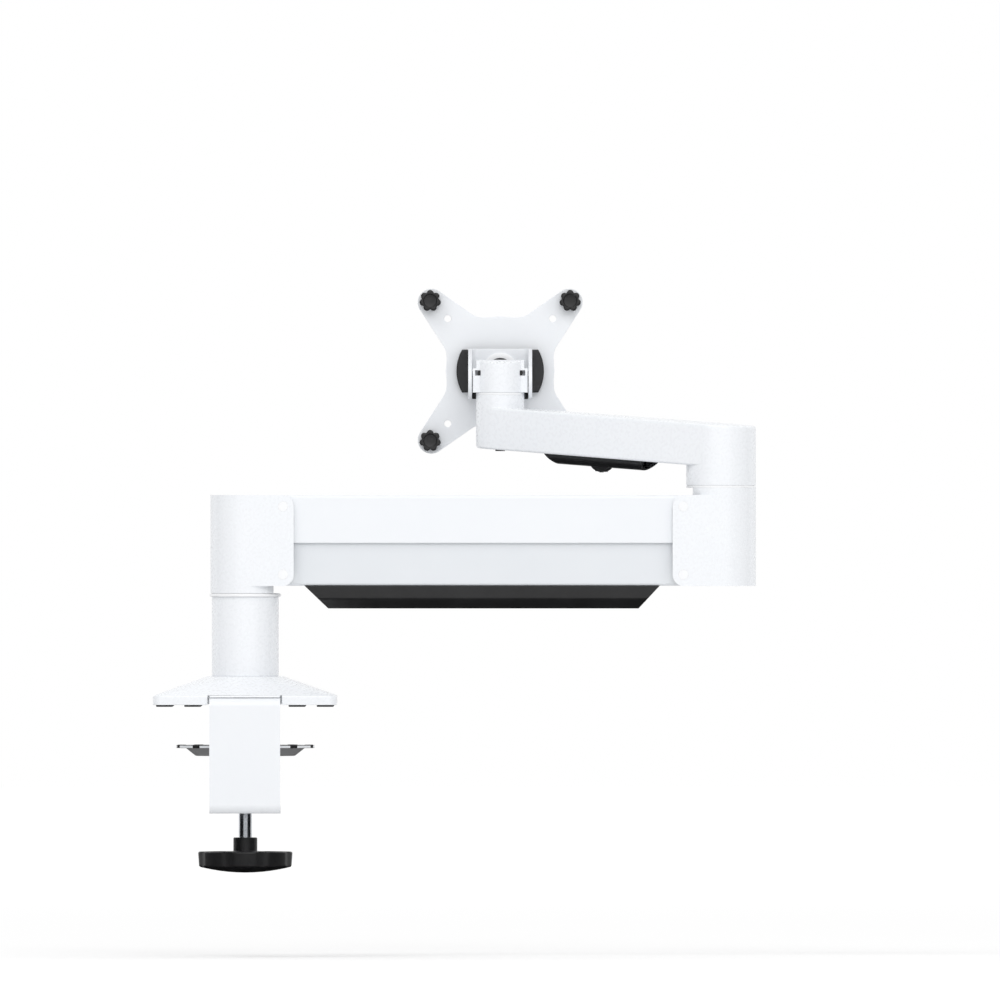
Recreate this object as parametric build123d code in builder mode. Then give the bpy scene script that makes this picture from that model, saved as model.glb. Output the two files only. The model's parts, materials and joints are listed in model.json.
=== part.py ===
"""Desk-clamp monitor arm with a gas-spring parallelogram beam, in millimetres.

Frame: the origin is on the post axis at the desk top, +Z is up, +X runs along the spring beam from the
post, and the display faces +Y. The desk lies on the +Y side of the clamp bracket.
"""

import os
from math import cos, radians, sin, sqrt, tan

from build123d import *

os.makedirs("parts", exist_ok=True)

# ---------------------------------------------------------------- driving dimensions
# Layout of the linkage
LINK_LENGTH = 284.3  # spring beam, rear pivot to front pivot
LINK_SPACING = 48.4  # upper pivot line to lower pivot line
PIVOT_OFFSET = 26.9  # barrel axis to its pivots
LIFT_UP = 38.0  # the beam's travel above level, degrees
ARM_LENGTH = 180.0  # extension arm, elbow axis to wrist axis
ARM_HEADING = 150.7  # extension arm at rest, turned from the beam's direction, degrees

# Foot
FOOT_WIDTH, FOOT_DEPTH, FOOT_CORNER = 130.3, 110.0, 6.0
FOOT_LIP_Z, FOOT_TOP_Z = 7.7, 21.5
FOOT_TOP_SIZE, FOOT_TOP_CORNER = 53.6, 24.0
FOOT_WALL = 3.5
FOOT_CORE_R, SCREW_BOSS_R = 25.0, 6.5
FOOT_SPIGOT = 6.0  # stands inside the post
PAD_HEIGHT, PAD_R = 1.3, 6.0
PAD_COLUMNS, PAD_ROW = (37.0, 57.0), 43.0
BOLT_HEAD_R, BOLT_HEAD, BOLT_SHANK_R, BOLT_SOCKET = 8.0, 8.0, 5.0, 5.0
BOLT_REACH, THREAD_DEPTH = 20.0, 22.0  # the post bolt and its thread, above the spindle's foot
BOSS_ROOF = 4.0  # metal left over the bracket screws' holes

# Clamp bracket and screw
SHEET = 5.0
BRACKET_WIDTH = 50.2
BRACKET_BACK_Y = -59.0  # outer face of the upright
BRACKET_TOP_LENGTH, BRACKET_FOOT_LENGTH = 97.0, 81.0
BRACKET_DROP = 75.6  # desk plane to the bracket's underside
BEND_INNER_R, BRACKET_END_R, BRACKET_TOE_R = 1.0, 8.0, 12.0
BEND_R = SHEET + BEND_INNER_R
BRACKET_SLOT_GAP, BRACKET_SLOT_Z = 1.3, 8.0  # beside the bracket, in the foot's rear notch
BRACKET_BORE_R, SKIN_INSET, SKIN_HOLE_R = 10.0, 3.0, 7.0  # the skin is the rubber under the bracket
COUNTERSUNK_R, COUNTERSUNK_HEAD_R = 3.0, 5.8
NUT_FLAT, NUT_HEIGHT = 8.5, 8.0
SCREW_R, TIP_R, TIP_STEP = 4.7, 3.8, 2.2  # the tip stands up through the pressure plate
RETAINER_R, RETAINER = 7.5, 1.2
THREAD_GAP = 0.05
CLAMP_GAP = 27.2  # desk thickness it stands set for
PLATE_R, PLATE_SHEET = 49.15, 2.0
PLATE_FLAT_R, PLATE_DISH_R, PLATE_DEPTH = 42.3, 35.3, 7.6
PLUG_R, PLUG_CIRCLE_R, PLUG_COUNT, PLUG_PROUD = 4.0, 47.2, 12, 0.3
KNOB_R, KNOB_TOP_Z, KNOB_SIDE, KNOB_DOME = 33.6, -103.1, 10.8, 4.2
KNOB_LOBES, KNOB_SCALLOP_R, KNOB_SCALLOP, KNOB_DRAFT = 8, 20.0, 1.2, 0.8
HUB_R, HUB_LENGTH = 8.5, 10.0

# Post
POST_R, POST_WALL, POST_TOP_Z = 23.75, 5.0, 78.0
SWIVEL_RING_R, SWIVEL_RING_HEIGHT = 25.35, 2.2
SPINDLE_R, SPINDLE_WAIST_R = 10.0, 12.0
FOOT_COLLAR, HEAD_COLLAR = 7.5, 12.0  # where the spindle fills the post
RUNNING_GAP = 0.06
FACE_GAP = 0.3

# End caps (the front one is the rear one turned over)
CAP_R = 24.8
CAP_MARGIN = 8.15  # pivot lines to the cap's top and bottom
CAP_HEIGHT = LINK_SPACING + 2 * CAP_MARGIN
CAP_REACH = 34.5  # barrel axis to the cheeks' ends
CAP_CORNER = 8.0
CHEEK = 3.8
NECK_HEIGHT, NECK_FLAT = 5.1, 20.0
SLOT_BACK = 15.5  # barrel axis to the back wall between the cheeks
PIN_R = 3.5

# Channels of the beam
WALL = 2.2
CHEEK_GAP, CHANNEL_GAP = 0.7, 0.8  # cheek to upper channel, and upper channel to the one inside it
UPPER_HALF = CAP_R - CHEEK - CHEEK_GAP
LOWER_HALF = UPPER_HALF - WALL - CHANNEL_GAP
UPPER_WALL_DROP = LINK_SPACING / 2 + 1.8  # pivot line to the walls' free edges
LOWER_WALL_RISE = LINK_SPACING / 2 - 0.2
WEB_OUT = 7.9  # pivot line to the web's outer face
LINK_BUSH_R = PIN_R + 1.2
EDGE_R = 1.9  # along the folded corners of the channels
NOSE_GAP, WEB_SETBACK = 0.8, 6.0  # noses to the caps' back walls, and the upper web's ends from the pivots

# Swivel bearings and the nuts over them
BUSH_LENGTH, BUSH_OUTER_R = 18.0, SPINDLE_R + 2.5
RECESS, RECESS_R = 13.3, 14.0  # the caps' nut recess
NECK_STUD_R, NECK_STUD = 6.0, 10.3  # threaded end of each swivel spindle
FLANGE_R, FLANGE, SWIVEL_NUT_FLAT, SWIVEL_NUT = 13.4, 1.8, 9.5, 8.0
PIN_CAP = 1.5
SPACER_R = PIN_R + 3.0

# Gas spring
SPRING_DROP = 11.0  # upper pivot to the trunnion nut
CYLINDER_R, CYLINDER_WALL, CYLINDER_LENGTH = 11.0, 1.5, 170.0
ROD_R, CYLINDER_START = 4.0, 31.0  # the start is measured from the rear pivot
TRUNNION_R, TRUNNION_REACH, TRUNNION_NUT = 2.5, 10.0, 12.0
FORK_R, FORK_HOLE_R, FORK_BASE, FORK_BLOCK = 6.5, 3.85, 10.0, 8.0
FORK_HALF, FORK_SLOT, FORK_DEPTH, FORK_THREAD = 9.5, 13.0, 10.0, 6.0
ROD_LENGTH, PISTON, END_WALL, TAIL_R = 120.0, 8.0, 8.0, 4.0
GLAND_LIP, GLAND_DEPTH = 2.0, 12.0
EYE_R, EYE_HALF = 7.0, 5.0  # the eye at the cylinder's closed end
LUG_START, LUG_SHEET, LUG_R = 5.3, 3.0, 6.0  # under the upper channel's web, either side of the eye
CYLINDER_PIN_R = 3.0

# Tension screw and its two ledges
LEDGE, LEDGE_END, LEDGE_HALF = 3.0, 30.6, 5.5
LEDGE_DROP, LEDGE_RISE = 5.3, 14.25  # below the upper pivot line, and above the lower one
TENSION_R, TENSION_HEAD_R, TENSION_HEAD, TENSION_FLOOR = 3.0, 4.2, 4.4, 1.6
TENSION_BORE_R = TENSION_R + RUNNING_GAP

# Cable tray under the beam
TRAY_REAR, TRAY_FRONT = 15.2, 16.7  # from the rear and front pivots
TRAY_REAR_SLANT, TRAY_FRONT_SLANT = 1.04, 0.93  # run of the slanted ends for each mm of height
HOOK_INSETS = (47.9, 49.5)  # from the tray's two ends
TRAY_HOOK_Y, HOOK_LENGTH, HOOK_SHEET = 11.0, 8.0, 2.0
TRAY_HEIGHT, TRAY_UPRIGHT, TRAY_BOTTOM_HALF, TRAY_WALL = 16.2, 9.6, 11.0, 1.8

# Extension arm
POCKET_START, POCKET_WIDTH, POCKET_DEPTH, POCKET_CORNER = 35.0, 18.0, 18.0, 5.0
POCKET_END = ARM_LENGTH - 30.0
ELBOW_R, WRIST_R = CAP_R - 0.05, 17.2
ARM_SLOPE = 3.9  # rise from elbow to wrist, degrees
ARM_RISE, ARM_THICKNESS = 15.25, 30.1  # the rise is from the elbow's neck to the arm's underside
ARM_EDGE_R = 1.8
WRIST_LIP, WRIST_RISE = 5.08, 8.58  # above the arm's underside, and above its top, at the wrist axis
CLIP_LENGTH, CLIP_WIDTH, CLIP_DEPTH = 82.0, 22.8, 7.1
CLIP_CENTRE = (POCKET_START + POCKET_END) / 2 + 4.7
CLIP_SHOULDER_R, CLIP_WALL, CLIP_END = 5.0, 1.5, 6.2  # the end is how far the ends slant back
TAB_HALF, TAB_DEPTH, TAB_SHEET = 8.4, 4.9, 6.0
WRIST_SPINDLE_R, WRIST_BUSH = 8.0, 12.0
BUSH_WRIST_R = WRIST_SPINDLE_R + 1.6
WRIST_BOLT_R, WRIST_BOLT, WRIST_HEAD_R, WRIST_DISC_R = 2.0, 14.0, 3.5, 9.0
WASHER = 1.5  # white washers at the elbow, wrist and plate pivots

# Head
BLOCK_HEIGHT, BLOCK_HALF, BLOCK_DEPTH = 23.3, 19.6, 18.0
SHOULDER_RISE, SHOULDER_HALF = 17.2, 17.0  # the block is narrower above its shoulders
POCKET_X, POCKET_RISE, POCKET_SIZE, POCKET_IN = 15.9, 13.9, (4.0, 3.8), 6.0
AXLE_RISE, AXLE_R = 7.9, 4.0  # above the block's base
AXLE_WASHER_R = AXLE_R + 3.5
SPINDLE_SEAT = 13.0  # the wrist spindle's length inside the block
BRACKET_SHEET, EAR_GAP, YOKE_BEND_R = 2.6, 0.6, 3.5
YOKE_RISE, YOKE_DROP, YOKE_DEPTH = 23.4, 12.5, 32.0  # above and below the tilt axle
STOP_GAP, STOP_DEPTH, STOP_HEIGHT = 0.4, 4.0, 4.7
DISC_R, DISC_FLAT, DISC_THICKNESS = 31.25, 15.35, 7.5
PLATE_RISE = 7.5  # the plate's pivot above the tilt axle
DOME_R, YOKE_NOSE, BOLT_R = 49.0, 12.0, 5.0
PIVOT_WASHER_R, PIVOT_FLANGE_R, PIVOT_NUT_FLAT, PIVOT_NUT = 13.0, 9.4, 8.0, 5.5
PIVOT_HEAD_R, PIVOT_HEAD = 8.8, 1.4
TIP_INSET, TIP_R_OUT = 0.8, 9.8
WAIST_TOP, WAIST_SIDE = (20.6, 41.1), (40.6, 18.0)
BULGE_TOP, BULGE_SIDE = 39.3, 38.9
HOLE_R = 2.45
VESA_WIDE, VESA_NARROW = 100.0, 75.0
VESA_SHEET = 3.0
THUMB_R, THUMB_HEIGHT, THUMB_LOBES = 7.4, 11.0, 7
THUMB_LOBE_R = 2.4
STUD_R, STUD_LENGTH, STUD_SHOULDER_R = 2.0, 9.0, 2.2

# ---------------------------------------------------------------- derived places
NECK_BASE_Z = POST_TOP_Z + SWIVEL_RING_HEIGHT + FACE_GAP
CAP_BASE_Z = NECK_BASE_Z + NECK_HEIGHT
PIVOT_MID_Z = CAP_BASE_Z + CAP_HEIGHT / 2  # halfway between the two pivot lines
UPPER_Z = PIVOT_MID_Z + LINK_SPACING / 2
LOWER_Z = PIVOT_MID_Z - LINK_SPACING / 2
FRONT_PIVOT_X = PIVOT_OFFSET + LINK_LENGTH
ELBOW_X = FRONT_PIVOT_X + PIVOT_OFFSET
WRIST_X = ELBOW_X + ARM_LENGTH * cos(radians(ARM_HEADING))
WRIST_Y = ARM_LENGTH * sin(radians(ARM_HEADING))
CAP_TOP_Z = PIVOT_MID_Z + CAP_HEIGHT / 2
CAP_INNER = CAP_R - CHEEK
SPRING_Z = UPPER_Z - SPRING_DROP
ROD_Z = SPRING_Z + SPRING_DROP * (1 - cos(radians(LIFT_UP))) / 2
PLATE_BACK_Y = WRIST_Y + YOKE_DEPTH + BRACKET_SHEET + DISC_THICKNESS + 0.2
THREAD_R = SCREW_R + THREAD_GAP
COLLAR_R = POST_R - POST_WALL - 0.1
CYLINDER_TAIL_X = PIVOT_OFFSET + CYLINDER_START + CYLINDER_LENGTH + EYE_R + EYE_HALF
LEDGE_HIGH_Z = UPPER_Z - LEDGE_DROP
LEDGE_LOW_Z = LOWER_Z + LEDGE_RISE
TRAY_START = PIVOT_OFFSET + TRAY_REAR
TRAY_END = FRONT_PIVOT_X - TRAY_FRONT
TRAY_HOOKS = (TRAY_START + HOOK_INSETS[0], TRAY_END - HOOK_INSETS[1])
RISE = tan(radians(ARM_SLOPE))
NECK_TOP_Z = CAP_TOP_Z + NECK_HEIGHT
ARM_UNDER_Z = NECK_TOP_Z + ARM_RISE
WRIST_UNDER_Z = ARM_UNDER_Z + RISE * ARM_LENGTH
WRIST_LIP_Z = WRIST_UNDER_Z + WRIST_LIP
WRIST_TOP_Z = WRIST_UNDER_Z + ARM_THICKNESS + WRIST_RISE
BLOCK_BASE_Z = WRIST_TOP_Z + WASHER + FACE_GAP
BLOCK_TOP_Z = BLOCK_BASE_Z + BLOCK_HEIGHT
SHOULDER_Z = BLOCK_BASE_Z + SHOULDER_RISE
POCKET_Z = BLOCK_BASE_Z + POCKET_RISE
AXLE_Z = BLOCK_BASE_Z + AXLE_RISE
YOKE_TOP_Z = AXLE_Z + YOKE_RISE
YOKE_BASE_Z = AXLE_Z - YOKE_DROP
PLATE_CENTRE_Z = AXLE_Z + PLATE_RISE
EAR_INNER = BLOCK_HALF + EAR_GAP
YOKE_HALF = EAR_INNER + BRACKET_SHEET


def save(builder, label):
    """Label a finished sub-part and write its STEP file."""
    builder.part.label = label
    export_step(builder.part, f"parts/{label}.step")


def tube_at(x, y, z_low, z_high, outer, inner=0.0):
    """A private upright tube or rod between two heights."""
    with BuildPart(mode=Mode.PRIVATE) as tube:
        with BuildSketch(Plane.XY.offset(z_low)):
            with Locations((x, y)):
                Circle(outer)
                if inner:
                    Circle(inner, mode=Mode.SUBTRACT)
        extrude(amount=z_high - z_low)
    return tube.part


def rod_along_y(x, z, y_low, y_high, outer, inner=0.0):
    """A private rod or ring whose axis runs along Y."""
    plane = Plane(origin=(x, y_low, z), x_dir=(1, 0, 0), z_dir=(0, 1, 0))
    with BuildPart(mode=Mode.PRIVATE) as rod:
        with BuildSketch(plane):
            Circle(outer)
            if inner:
                Circle(inner, mode=Mode.SUBTRACT)
        extrude(amount=y_high - y_low)
    return rod.part


# ---------------------------------------------------------------- foot
def foot_half(size, z):
    """Half width of the flared foot at a height, for its size at the lip."""
    share = (z - FOOT_LIP_Z) / (FOOT_TOP_Z - FOOT_LIP_Z)
    return size / 2 + (FOOT_TOP_SIZE - size) / 2 * share


with BuildPart() as foot_form:
    with BuildSketch(Plane.XY.offset(PAD_HEIGHT)):
        RectangleRounded(FOOT_WIDTH, FOOT_DEPTH, FOOT_CORNER)
    extrude(amount=FOOT_LIP_Z - PAD_HEIGHT)
    with BuildSketch(Plane.XY.offset(FOOT_LIP_Z)):
        RectangleRounded(FOOT_WIDTH, FOOT_DEPTH, FOOT_CORNER)
    with BuildSketch(Plane.XY.offset(FOOT_TOP_Z)):
        RectangleRounded(FOOT_TOP_SIZE, FOOT_TOP_SIZE, FOOT_TOP_CORNER)
    loft(ruled=True)

BRACKET_TOP_Z = PAD_HEIGHT + SHEET
CAVITY_TOP_Z = FOOT_TOP_Z - 1.4 * FOOT_WALL
CAVITY_EDGE_Z = FOOT_LIP_Z - FOOT_WALL / 2
BRACKET_SCREWS = [(x, y) for x in (-17.5, 17.5) for y in (-21.0, 21.0)]

with BuildPart() as foot_inside:
    with BuildSketch(Plane.XY.offset(BRACKET_TOP_Z)):
        Circle(FOOT_CORE_R)
        with Locations(*BRACKET_SCREWS):
            Circle(SCREW_BOSS_R)
        Rectangle(FOOT_WIDTH - FOOT_WALL, FOOT_WALL)
        Rectangle(FOOT_WALL, FOOT_DEPTH - FOOT_WALL)
    extrude(amount=FOOT_TOP_Z - BRACKET_TOP_Z)
    pad_places = [(sx * x, sy * PAD_ROW) for x in PAD_COLUMNS for sx in (-1, 1) for sy in (-1, 1)]
    with BuildSketch(Plane.XY.offset(PAD_HEIGHT)):
        with Locations(*pad_places):
            Circle(PAD_R + 1)
    extrude(amount=FOOT_TOP_Z - PAD_HEIGHT)
    add(foot_form.part, mode=Mode.INTERSECT)

with BuildPart() as base_foot:
    add(foot_form.part)
    with BuildSketch(Plane.XY.offset(PAD_HEIGHT)):
        RectangleRounded(FOOT_WIDTH - 2 * FOOT_WALL, FOOT_DEPTH - 2 * FOOT_WALL, FOOT_CORNER - 2)
    extrude(amount=CAVITY_EDGE_Z - PAD_HEIGHT, mode=Mode.SUBTRACT)
    with BuildSketch(Plane.XY.offset(CAVITY_EDGE_Z)):
        RectangleRounded(FOOT_WIDTH - 2 * FOOT_WALL, FOOT_DEPTH - 2 * FOOT_WALL, FOOT_CORNER - 2)
    with BuildSketch(Plane.XY.offset(CAVITY_TOP_Z)):
        RectangleRounded(
            2 * foot_half(FOOT_WIDTH, CAVITY_TOP_Z + 1.1 * FOOT_WALL),
            2 * foot_half(FOOT_DEPTH, CAVITY_TOP_Z + 1.2 * FOOT_WALL),
            FOOT_TOP_CORNER - 2,
        )
    loft(ruled=True, mode=Mode.SUBTRACT)
    add(foot_inside.part)
    # rear notch for the bracket, with a slit up either side of it
    notch_depth = 2 * FOOT_WALL + BEND_R
    with BuildSketch(Plane.XY.offset(PAD_HEIGHT)):
        with Locations((0, -FOOT_DEPTH / 2)):
            Rectangle(BRACKET_WIDTH, notch_depth)
    extrude(amount=SHEET + FACE_GAP, mode=Mode.SUBTRACT)
    with BuildSketch(Plane.XY.offset(PAD_HEIGHT)):
        for side in (-1, 1):
            with Locations((side * (BRACKET_WIDTH + BRACKET_SLOT_GAP) / 2, -FOOT_DEPTH / 2)):
                Rectangle(BRACKET_SLOT_GAP, notch_depth)
    extrude(amount=BRACKET_SLOT_Z - PAD_HEIGHT, mode=Mode.SUBTRACT)
    # spigot that centres the post, and the post bolt's bore
    add(tube_at(0, 0, FOOT_TOP_Z, FOOT_TOP_Z + FOOT_SPIGOT, COLLAR_R))
    add(tube_at(0, 0, 0, FOOT_TOP_Z + FOOT_SPIGOT + 1, BOLT_SHANK_R + 0.2), mode=Mode.SUBTRACT)
    add(tube_at(0, 0, 0, BRACKET_TOP_Z + BOLT_HEAD + 1, BOLT_HEAD_R + 0.6), mode=Mode.SUBTRACT)
    for x, y in BRACKET_SCREWS:
        add(tube_at(x, y, 0, FOOT_TOP_Z - BOSS_ROOF, COUNTERSUNK_R + THREAD_GAP), mode=Mode.SUBTRACT)
save(base_foot, "base_foot")

with BuildPart() as foot_pads:
    with BuildSketch(Plane.XY):
        with Locations(*pad_places):
            Circle(PAD_R)
    extrude(amount=PAD_HEIGHT)
save(foot_pads, "foot_pads")

# ---------------------------------------------------------------- clamp bracket
BRACKET_FRONT_Y = BRACKET_BACK_Y + BRACKET_TOP_LENGTH
BRACKET_FLOOR_Z = SHEET - BRACKET_DROP
with BuildPart() as clamp_bracket:
    with BuildSketch(Plane.YZ.offset(-BRACKET_WIDTH / 2)) as bracket_side:
        with Locations((BRACKET_BACK_Y, -BRACKET_DROP)):
            Rectangle(
                BRACKET_TOP_LENGTH, BRACKET_TOP_Z + BRACKET_DROP, align=(Align.MIN, Align.MIN)
            )
        with Locations((BRACKET_BACK_Y + SHEET, BRACKET_FLOOR_Z)):
            Rectangle(
                BRACKET_TOP_LENGTH, PAD_HEIGHT - BRACKET_FLOOR_Z, align=(Align.MIN, Align.MIN),
                mode=Mode.SUBTRACT,
            )
        with Locations((BRACKET_BACK_Y + BRACKET_FOOT_LENGTH, -BRACKET_DROP)):
            Rectangle(BRACKET_TOP_LENGTH, SHEET, align=(Align.MIN, Align.MIN), mode=Mode.SUBTRACT)
        back = bracket_side.vertices().group_by(Axis.X)[0]
        fillet(back, BEND_R)
        inner = [v for v in bracket_side.vertices() if abs(v.Y - BRACKET_BACK_Y - SHEET) < 0.01]
        fillet(inner, BEND_INNER_R)
    extrude(amount=BRACKET_WIDTH)
    ends = clamp_bracket.edges().filter_by(Axis.Z).group_by(Axis.Y)
    fillet(ends[-1], BRACKET_END_R)
    low_ends = [e for e in clamp_bracket.edges().filter_by(Axis.Z) if e.center().Z < BRACKET_FLOOR_Z]
    fillet([e for e in low_ends if e.center().Y > 0], BRACKET_TOE_R)
    add(tube_at(0, 0, -BRACKET_DROP - 1, BRACKET_FLOOR_Z + 1, THREAD_R + 0.5), mode=Mode.SUBTRACT)
    add(tube_at(0, 0, 0, BRACKET_TOP_Z + 1, BRACKET_BORE_R), mode=Mode.SUBTRACT)
    with Locations(*[(x, y, PAD_HEIGHT) for x, y in BRACKET_SCREWS]):
        with Locations(Rotation(180, 0, 0)):
            CounterSinkHole(COUNTERSUNK_R + 0.2, COUNTERSUNK_HEAD_R + 0.2, SHEET + 1)
save(clamp_bracket, "clamp_bracket")

with BuildPart() as bracket_pad:
    with BuildSketch(Plane.XY):
        with Locations((0, BRACKET_BACK_Y + BEND_R + SKIN_INSET - 1)):
            Rectangle(
                BRACKET_WIDTH - 2 * SKIN_INSET, BRACKET_TOP_LENGTH - BEND_R - 2 * SKIN_INSET,
                align=(Align.CENTER, Align.MIN),
            )
        with Locations(*BRACKET_SCREWS):
            Circle(SKIN_HOLE_R, mode=Mode.SUBTRACT)
    extrude(amount=PAD_HEIGHT)
save(bracket_pad, "bracket_pad")

with BuildPart() as bracket_screws:
    head_z = PAD_HEIGHT + 0.1
    SCREW_TIP_Z = FOOT_TOP_Z - BOSS_ROOF - 0.5
    for x, y in BRACKET_SCREWS:
        with BuildSketch(Plane.XZ.offset(-y)):
            with BuildLine():
                Polyline(
                    (x, head_z), (x + COUNTERSUNK_HEAD_R, head_z),
                    (x + COUNTERSUNK_R, head_z + COUNTERSUNK_HEAD_R - COUNTERSUNK_R),
                    (x + COUNTERSUNK_R, SCREW_TIP_Z), (x, SCREW_TIP_Z), close=True,
                )
            make_face()
        revolve(axis=Axis((x, y, 0), (0, 0, 1)))
save(bracket_screws, "bracket_screws")

# ---------------------------------------------------------------- clamp screw group
with BuildPart() as clamp_nut:
    with BuildSketch(Plane.XY.offset(BRACKET_FLOOR_Z)):
        RegularPolygon(NUT_FLAT, 6, major_radius=False)
        Circle(THREAD_R, mode=Mode.SUBTRACT)
    extrude(amount=NUT_HEIGHT)
save(clamp_nut, "clamp_nut")

RIM_TOP_Z = -CLAMP_GAP - PLUG_PROUD
DISH_Z = RIM_TOP_Z - PLATE_DEPTH
with BuildPart() as pressure_plate:
    with BuildSketch(Plane.XZ) as plate_side:
        with BuildLine():
            Polyline(
                (TIP_R + RUNNING_GAP, DISH_Z), (PLATE_DISH_R, DISH_Z),
                (PLATE_FLAT_R, RIM_TOP_Z - PLATE_SHEET), (PLATE_R, RIM_TOP_Z - PLATE_SHEET),
                (PLATE_R, RIM_TOP_Z), (PLATE_FLAT_R - 0.9, RIM_TOP_Z),
                (PLATE_DISH_R - 0.9, DISH_Z + PLATE_SHEET), (TIP_R + RUNNING_GAP, DISH_Z + PLATE_SHEET),
                close=True,
            )
        make_face()
        bends = [v for v in plate_side.vertices() if PLATE_DISH_R - 1 < v.X < PLATE_FLAT_R + 0.1]
        fillet(bends, 1.5)
    revolve()
    with BuildSketch(Plane.XY.offset(RIM_TOP_Z - PLATE_SHEET - 1)):
        with PolarLocations(PLUG_CIRCLE_R, PLUG_COUNT, 180 / PLUG_COUNT):
            Circle(PLUG_R)
    extrude(amount=PLATE_SHEET + 2, mode=Mode.SUBTRACT)
save(pressure_plate, "pressure_plate")

with BuildPart() as pressure_plugs:
    with BuildSketch(Plane.XY.offset(RIM_TOP_Z - PLATE_SHEET)):
        with PolarLocations(PLUG_CIRCLE_R, PLUG_COUNT, 180 / PLUG_COUNT):
            Circle(PLUG_R)
        Circle(PLATE_R, mode=Mode.INTERSECT)
    extrude(amount=PLATE_SHEET + PLUG_PROUD)
save(pressure_plugs, "pressure_plugs")

KNOB_BOTTOM_Z = KNOB_TOP_Z - KNOB_SIDE - KNOB_DOME
SOCKET_Z = KNOB_TOP_Z - KNOB_SIDE + 1
with BuildPart() as clamp_screw:
    with BuildSketch(Plane.XZ):
        with BuildLine():
            Polyline(
                (0, SOCKET_Z), (SCREW_R, SOCKET_Z), (SCREW_R, DISH_Z - FACE_GAP),
                (TIP_R, DISH_Z - FACE_GAP), (TIP_R, DISH_Z + PLATE_SHEET + TIP_STEP),
                (0, DISH_Z + PLATE_SHEET + TIP_STEP), close=True,
            )
        make_face()
    revolve()
    fillet(clamp_screw.edges().group_by(Axis.Z)[-1], 0.6)
save(clamp_screw, "clamp_screw")

with BuildPart() as screw_retainer:
    retainer_z = DISH_Z + PLATE_SHEET + FACE_GAP
    add(tube_at(0, 0, retainer_z, retainer_z + RETAINER, RETAINER_R, TIP_R))
save(screw_retainer, "screw_retainer")

with BuildPart() as clamp_knob:
    with BuildSketch(Plane.XZ) as knob_side:
        with BuildLine():
            Line((0, KNOB_BOTTOM_Z), (0, KNOB_TOP_Z + HUB_LENGTH))
            Line((0, KNOB_TOP_Z + HUB_LENGTH), (HUB_R, KNOB_TOP_Z + HUB_LENGTH))
            Line((HUB_R, KNOB_TOP_Z + HUB_LENGTH), (HUB_R, KNOB_TOP_Z))
            Line((HUB_R, KNOB_TOP_Z), (KNOB_R, KNOB_TOP_Z))
            Line((KNOB_R, KNOB_TOP_Z), (KNOB_R - KNOB_DRAFT, KNOB_TOP_Z - KNOB_SIDE))
            ThreePointArc(
                (KNOB_R - KNOB_DRAFT, KNOB_TOP_Z - KNOB_SIDE),
                ((KNOB_R - KNOB_DRAFT) / 2, KNOB_BOTTOM_Z + KNOB_DOME / 4),
                (0, KNOB_BOTTOM_Z),
            )
        make_face()
    revolve()
    with BuildSketch(Plane.XY.offset(KNOB_BOTTOM_Z - 1)):
        with PolarLocations(KNOB_R + KNOB_SCALLOP_R - KNOB_SCALLOP, KNOB_LOBES, 180 / KNOB_LOBES):
            Circle(KNOB_SCALLOP_R)
    extrude(amount=KNOB_SIDE + KNOB_DOME + 1, mode=Mode.SUBTRACT)
    add(tube_at(0, 0, SOCKET_Z, KNOB_TOP_Z + HUB_LENGTH + 1, SCREW_R), mode=Mode.SUBTRACT)
save(clamp_knob, "clamp_knob")

# ---------------------------------------------------------------- post
with BuildPart() as post_tube:
    add(tube_at(0, 0, FOOT_TOP_Z, POST_TOP_Z, POST_R, POST_R - POST_WALL))
save(post_tube, "post_tube")

SEAT_Z = CAP_TOP_Z - RECESS
COLLAR_BASE_Z = FOOT_TOP_Z + FOOT_SPIGOT
with BuildPart() as post_spindle:
    steps = [
        (COLLAR_BASE_Z, COLLAR_BASE_Z + FOOT_COLLAR, COLLAR_R),
        (COLLAR_BASE_Z + FOOT_COLLAR, POST_TOP_Z - HEAD_COLLAR, SPINDLE_WAIST_R),
        (POST_TOP_Z - HEAD_COLLAR, POST_TOP_Z, COLLAR_R),
        (POST_TOP_Z, SEAT_Z + FACE_GAP, SPINDLE_R),
        (SEAT_Z + FACE_GAP, SEAT_Z + NECK_STUD, NECK_STUD_R),
    ]
    for low, high, radius in steps:
        add(tube_at(0, 0, low, high, radius))
    add(tube_at(0, 0, COLLAR_BASE_Z - 1, COLLAR_BASE_Z + THREAD_DEPTH, BOLT_SHANK_R), mode=Mode.SUBTRACT)
    chamfer(post_spindle.edges().group_by(Axis.Z)[-1], 0.8)
save(post_spindle, "post_spindle")

with BuildPart() as post_bolt:
    head_base_z = BRACKET_TOP_Z + 1
    with BuildSketch(Plane.XY.offset(head_base_z)):
        Circle(BOLT_HEAD_R)
        RegularPolygon(BOLT_HEAD_R / 2, 6, mode=Mode.SUBTRACT)
    extrude(amount=BOLT_SOCKET)
    head_top_z = head_base_z + BOLT_HEAD
    add(tube_at(0, 0, head_base_z + BOLT_SOCKET, head_top_z, BOLT_HEAD_R))
    add(tube_at(0, 0, head_top_z, COLLAR_BASE_Z + BOLT_REACH, BOLT_SHANK_R))
save(post_bolt, "post_bolt")

with BuildPart() as post_washer:
    add(tube_at(0, 0, POST_TOP_Z, POST_TOP_Z + SWIVEL_RING_HEIGHT, SWIVEL_RING_R, SPINDLE_R + 0.3))
save(post_washer, "post_washer")

with BuildPart() as shoulder_nut:
    add(tube_at(0, 0, SEAT_Z + FACE_GAP, SEAT_Z + FLANGE, FLANGE_R, NECK_STUD_R))
    with BuildSketch(Plane.XY.offset(SEAT_Z + FLANGE)):
        RegularPolygon(SWIVEL_NUT_FLAT, 6, major_radius=False)
        Circle(NECK_STUD_R, mode=Mode.SUBTRACT)
    extrude(amount=SWIVEL_NUT)
save(shoulder_nut, "shoulder_nut")


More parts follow.
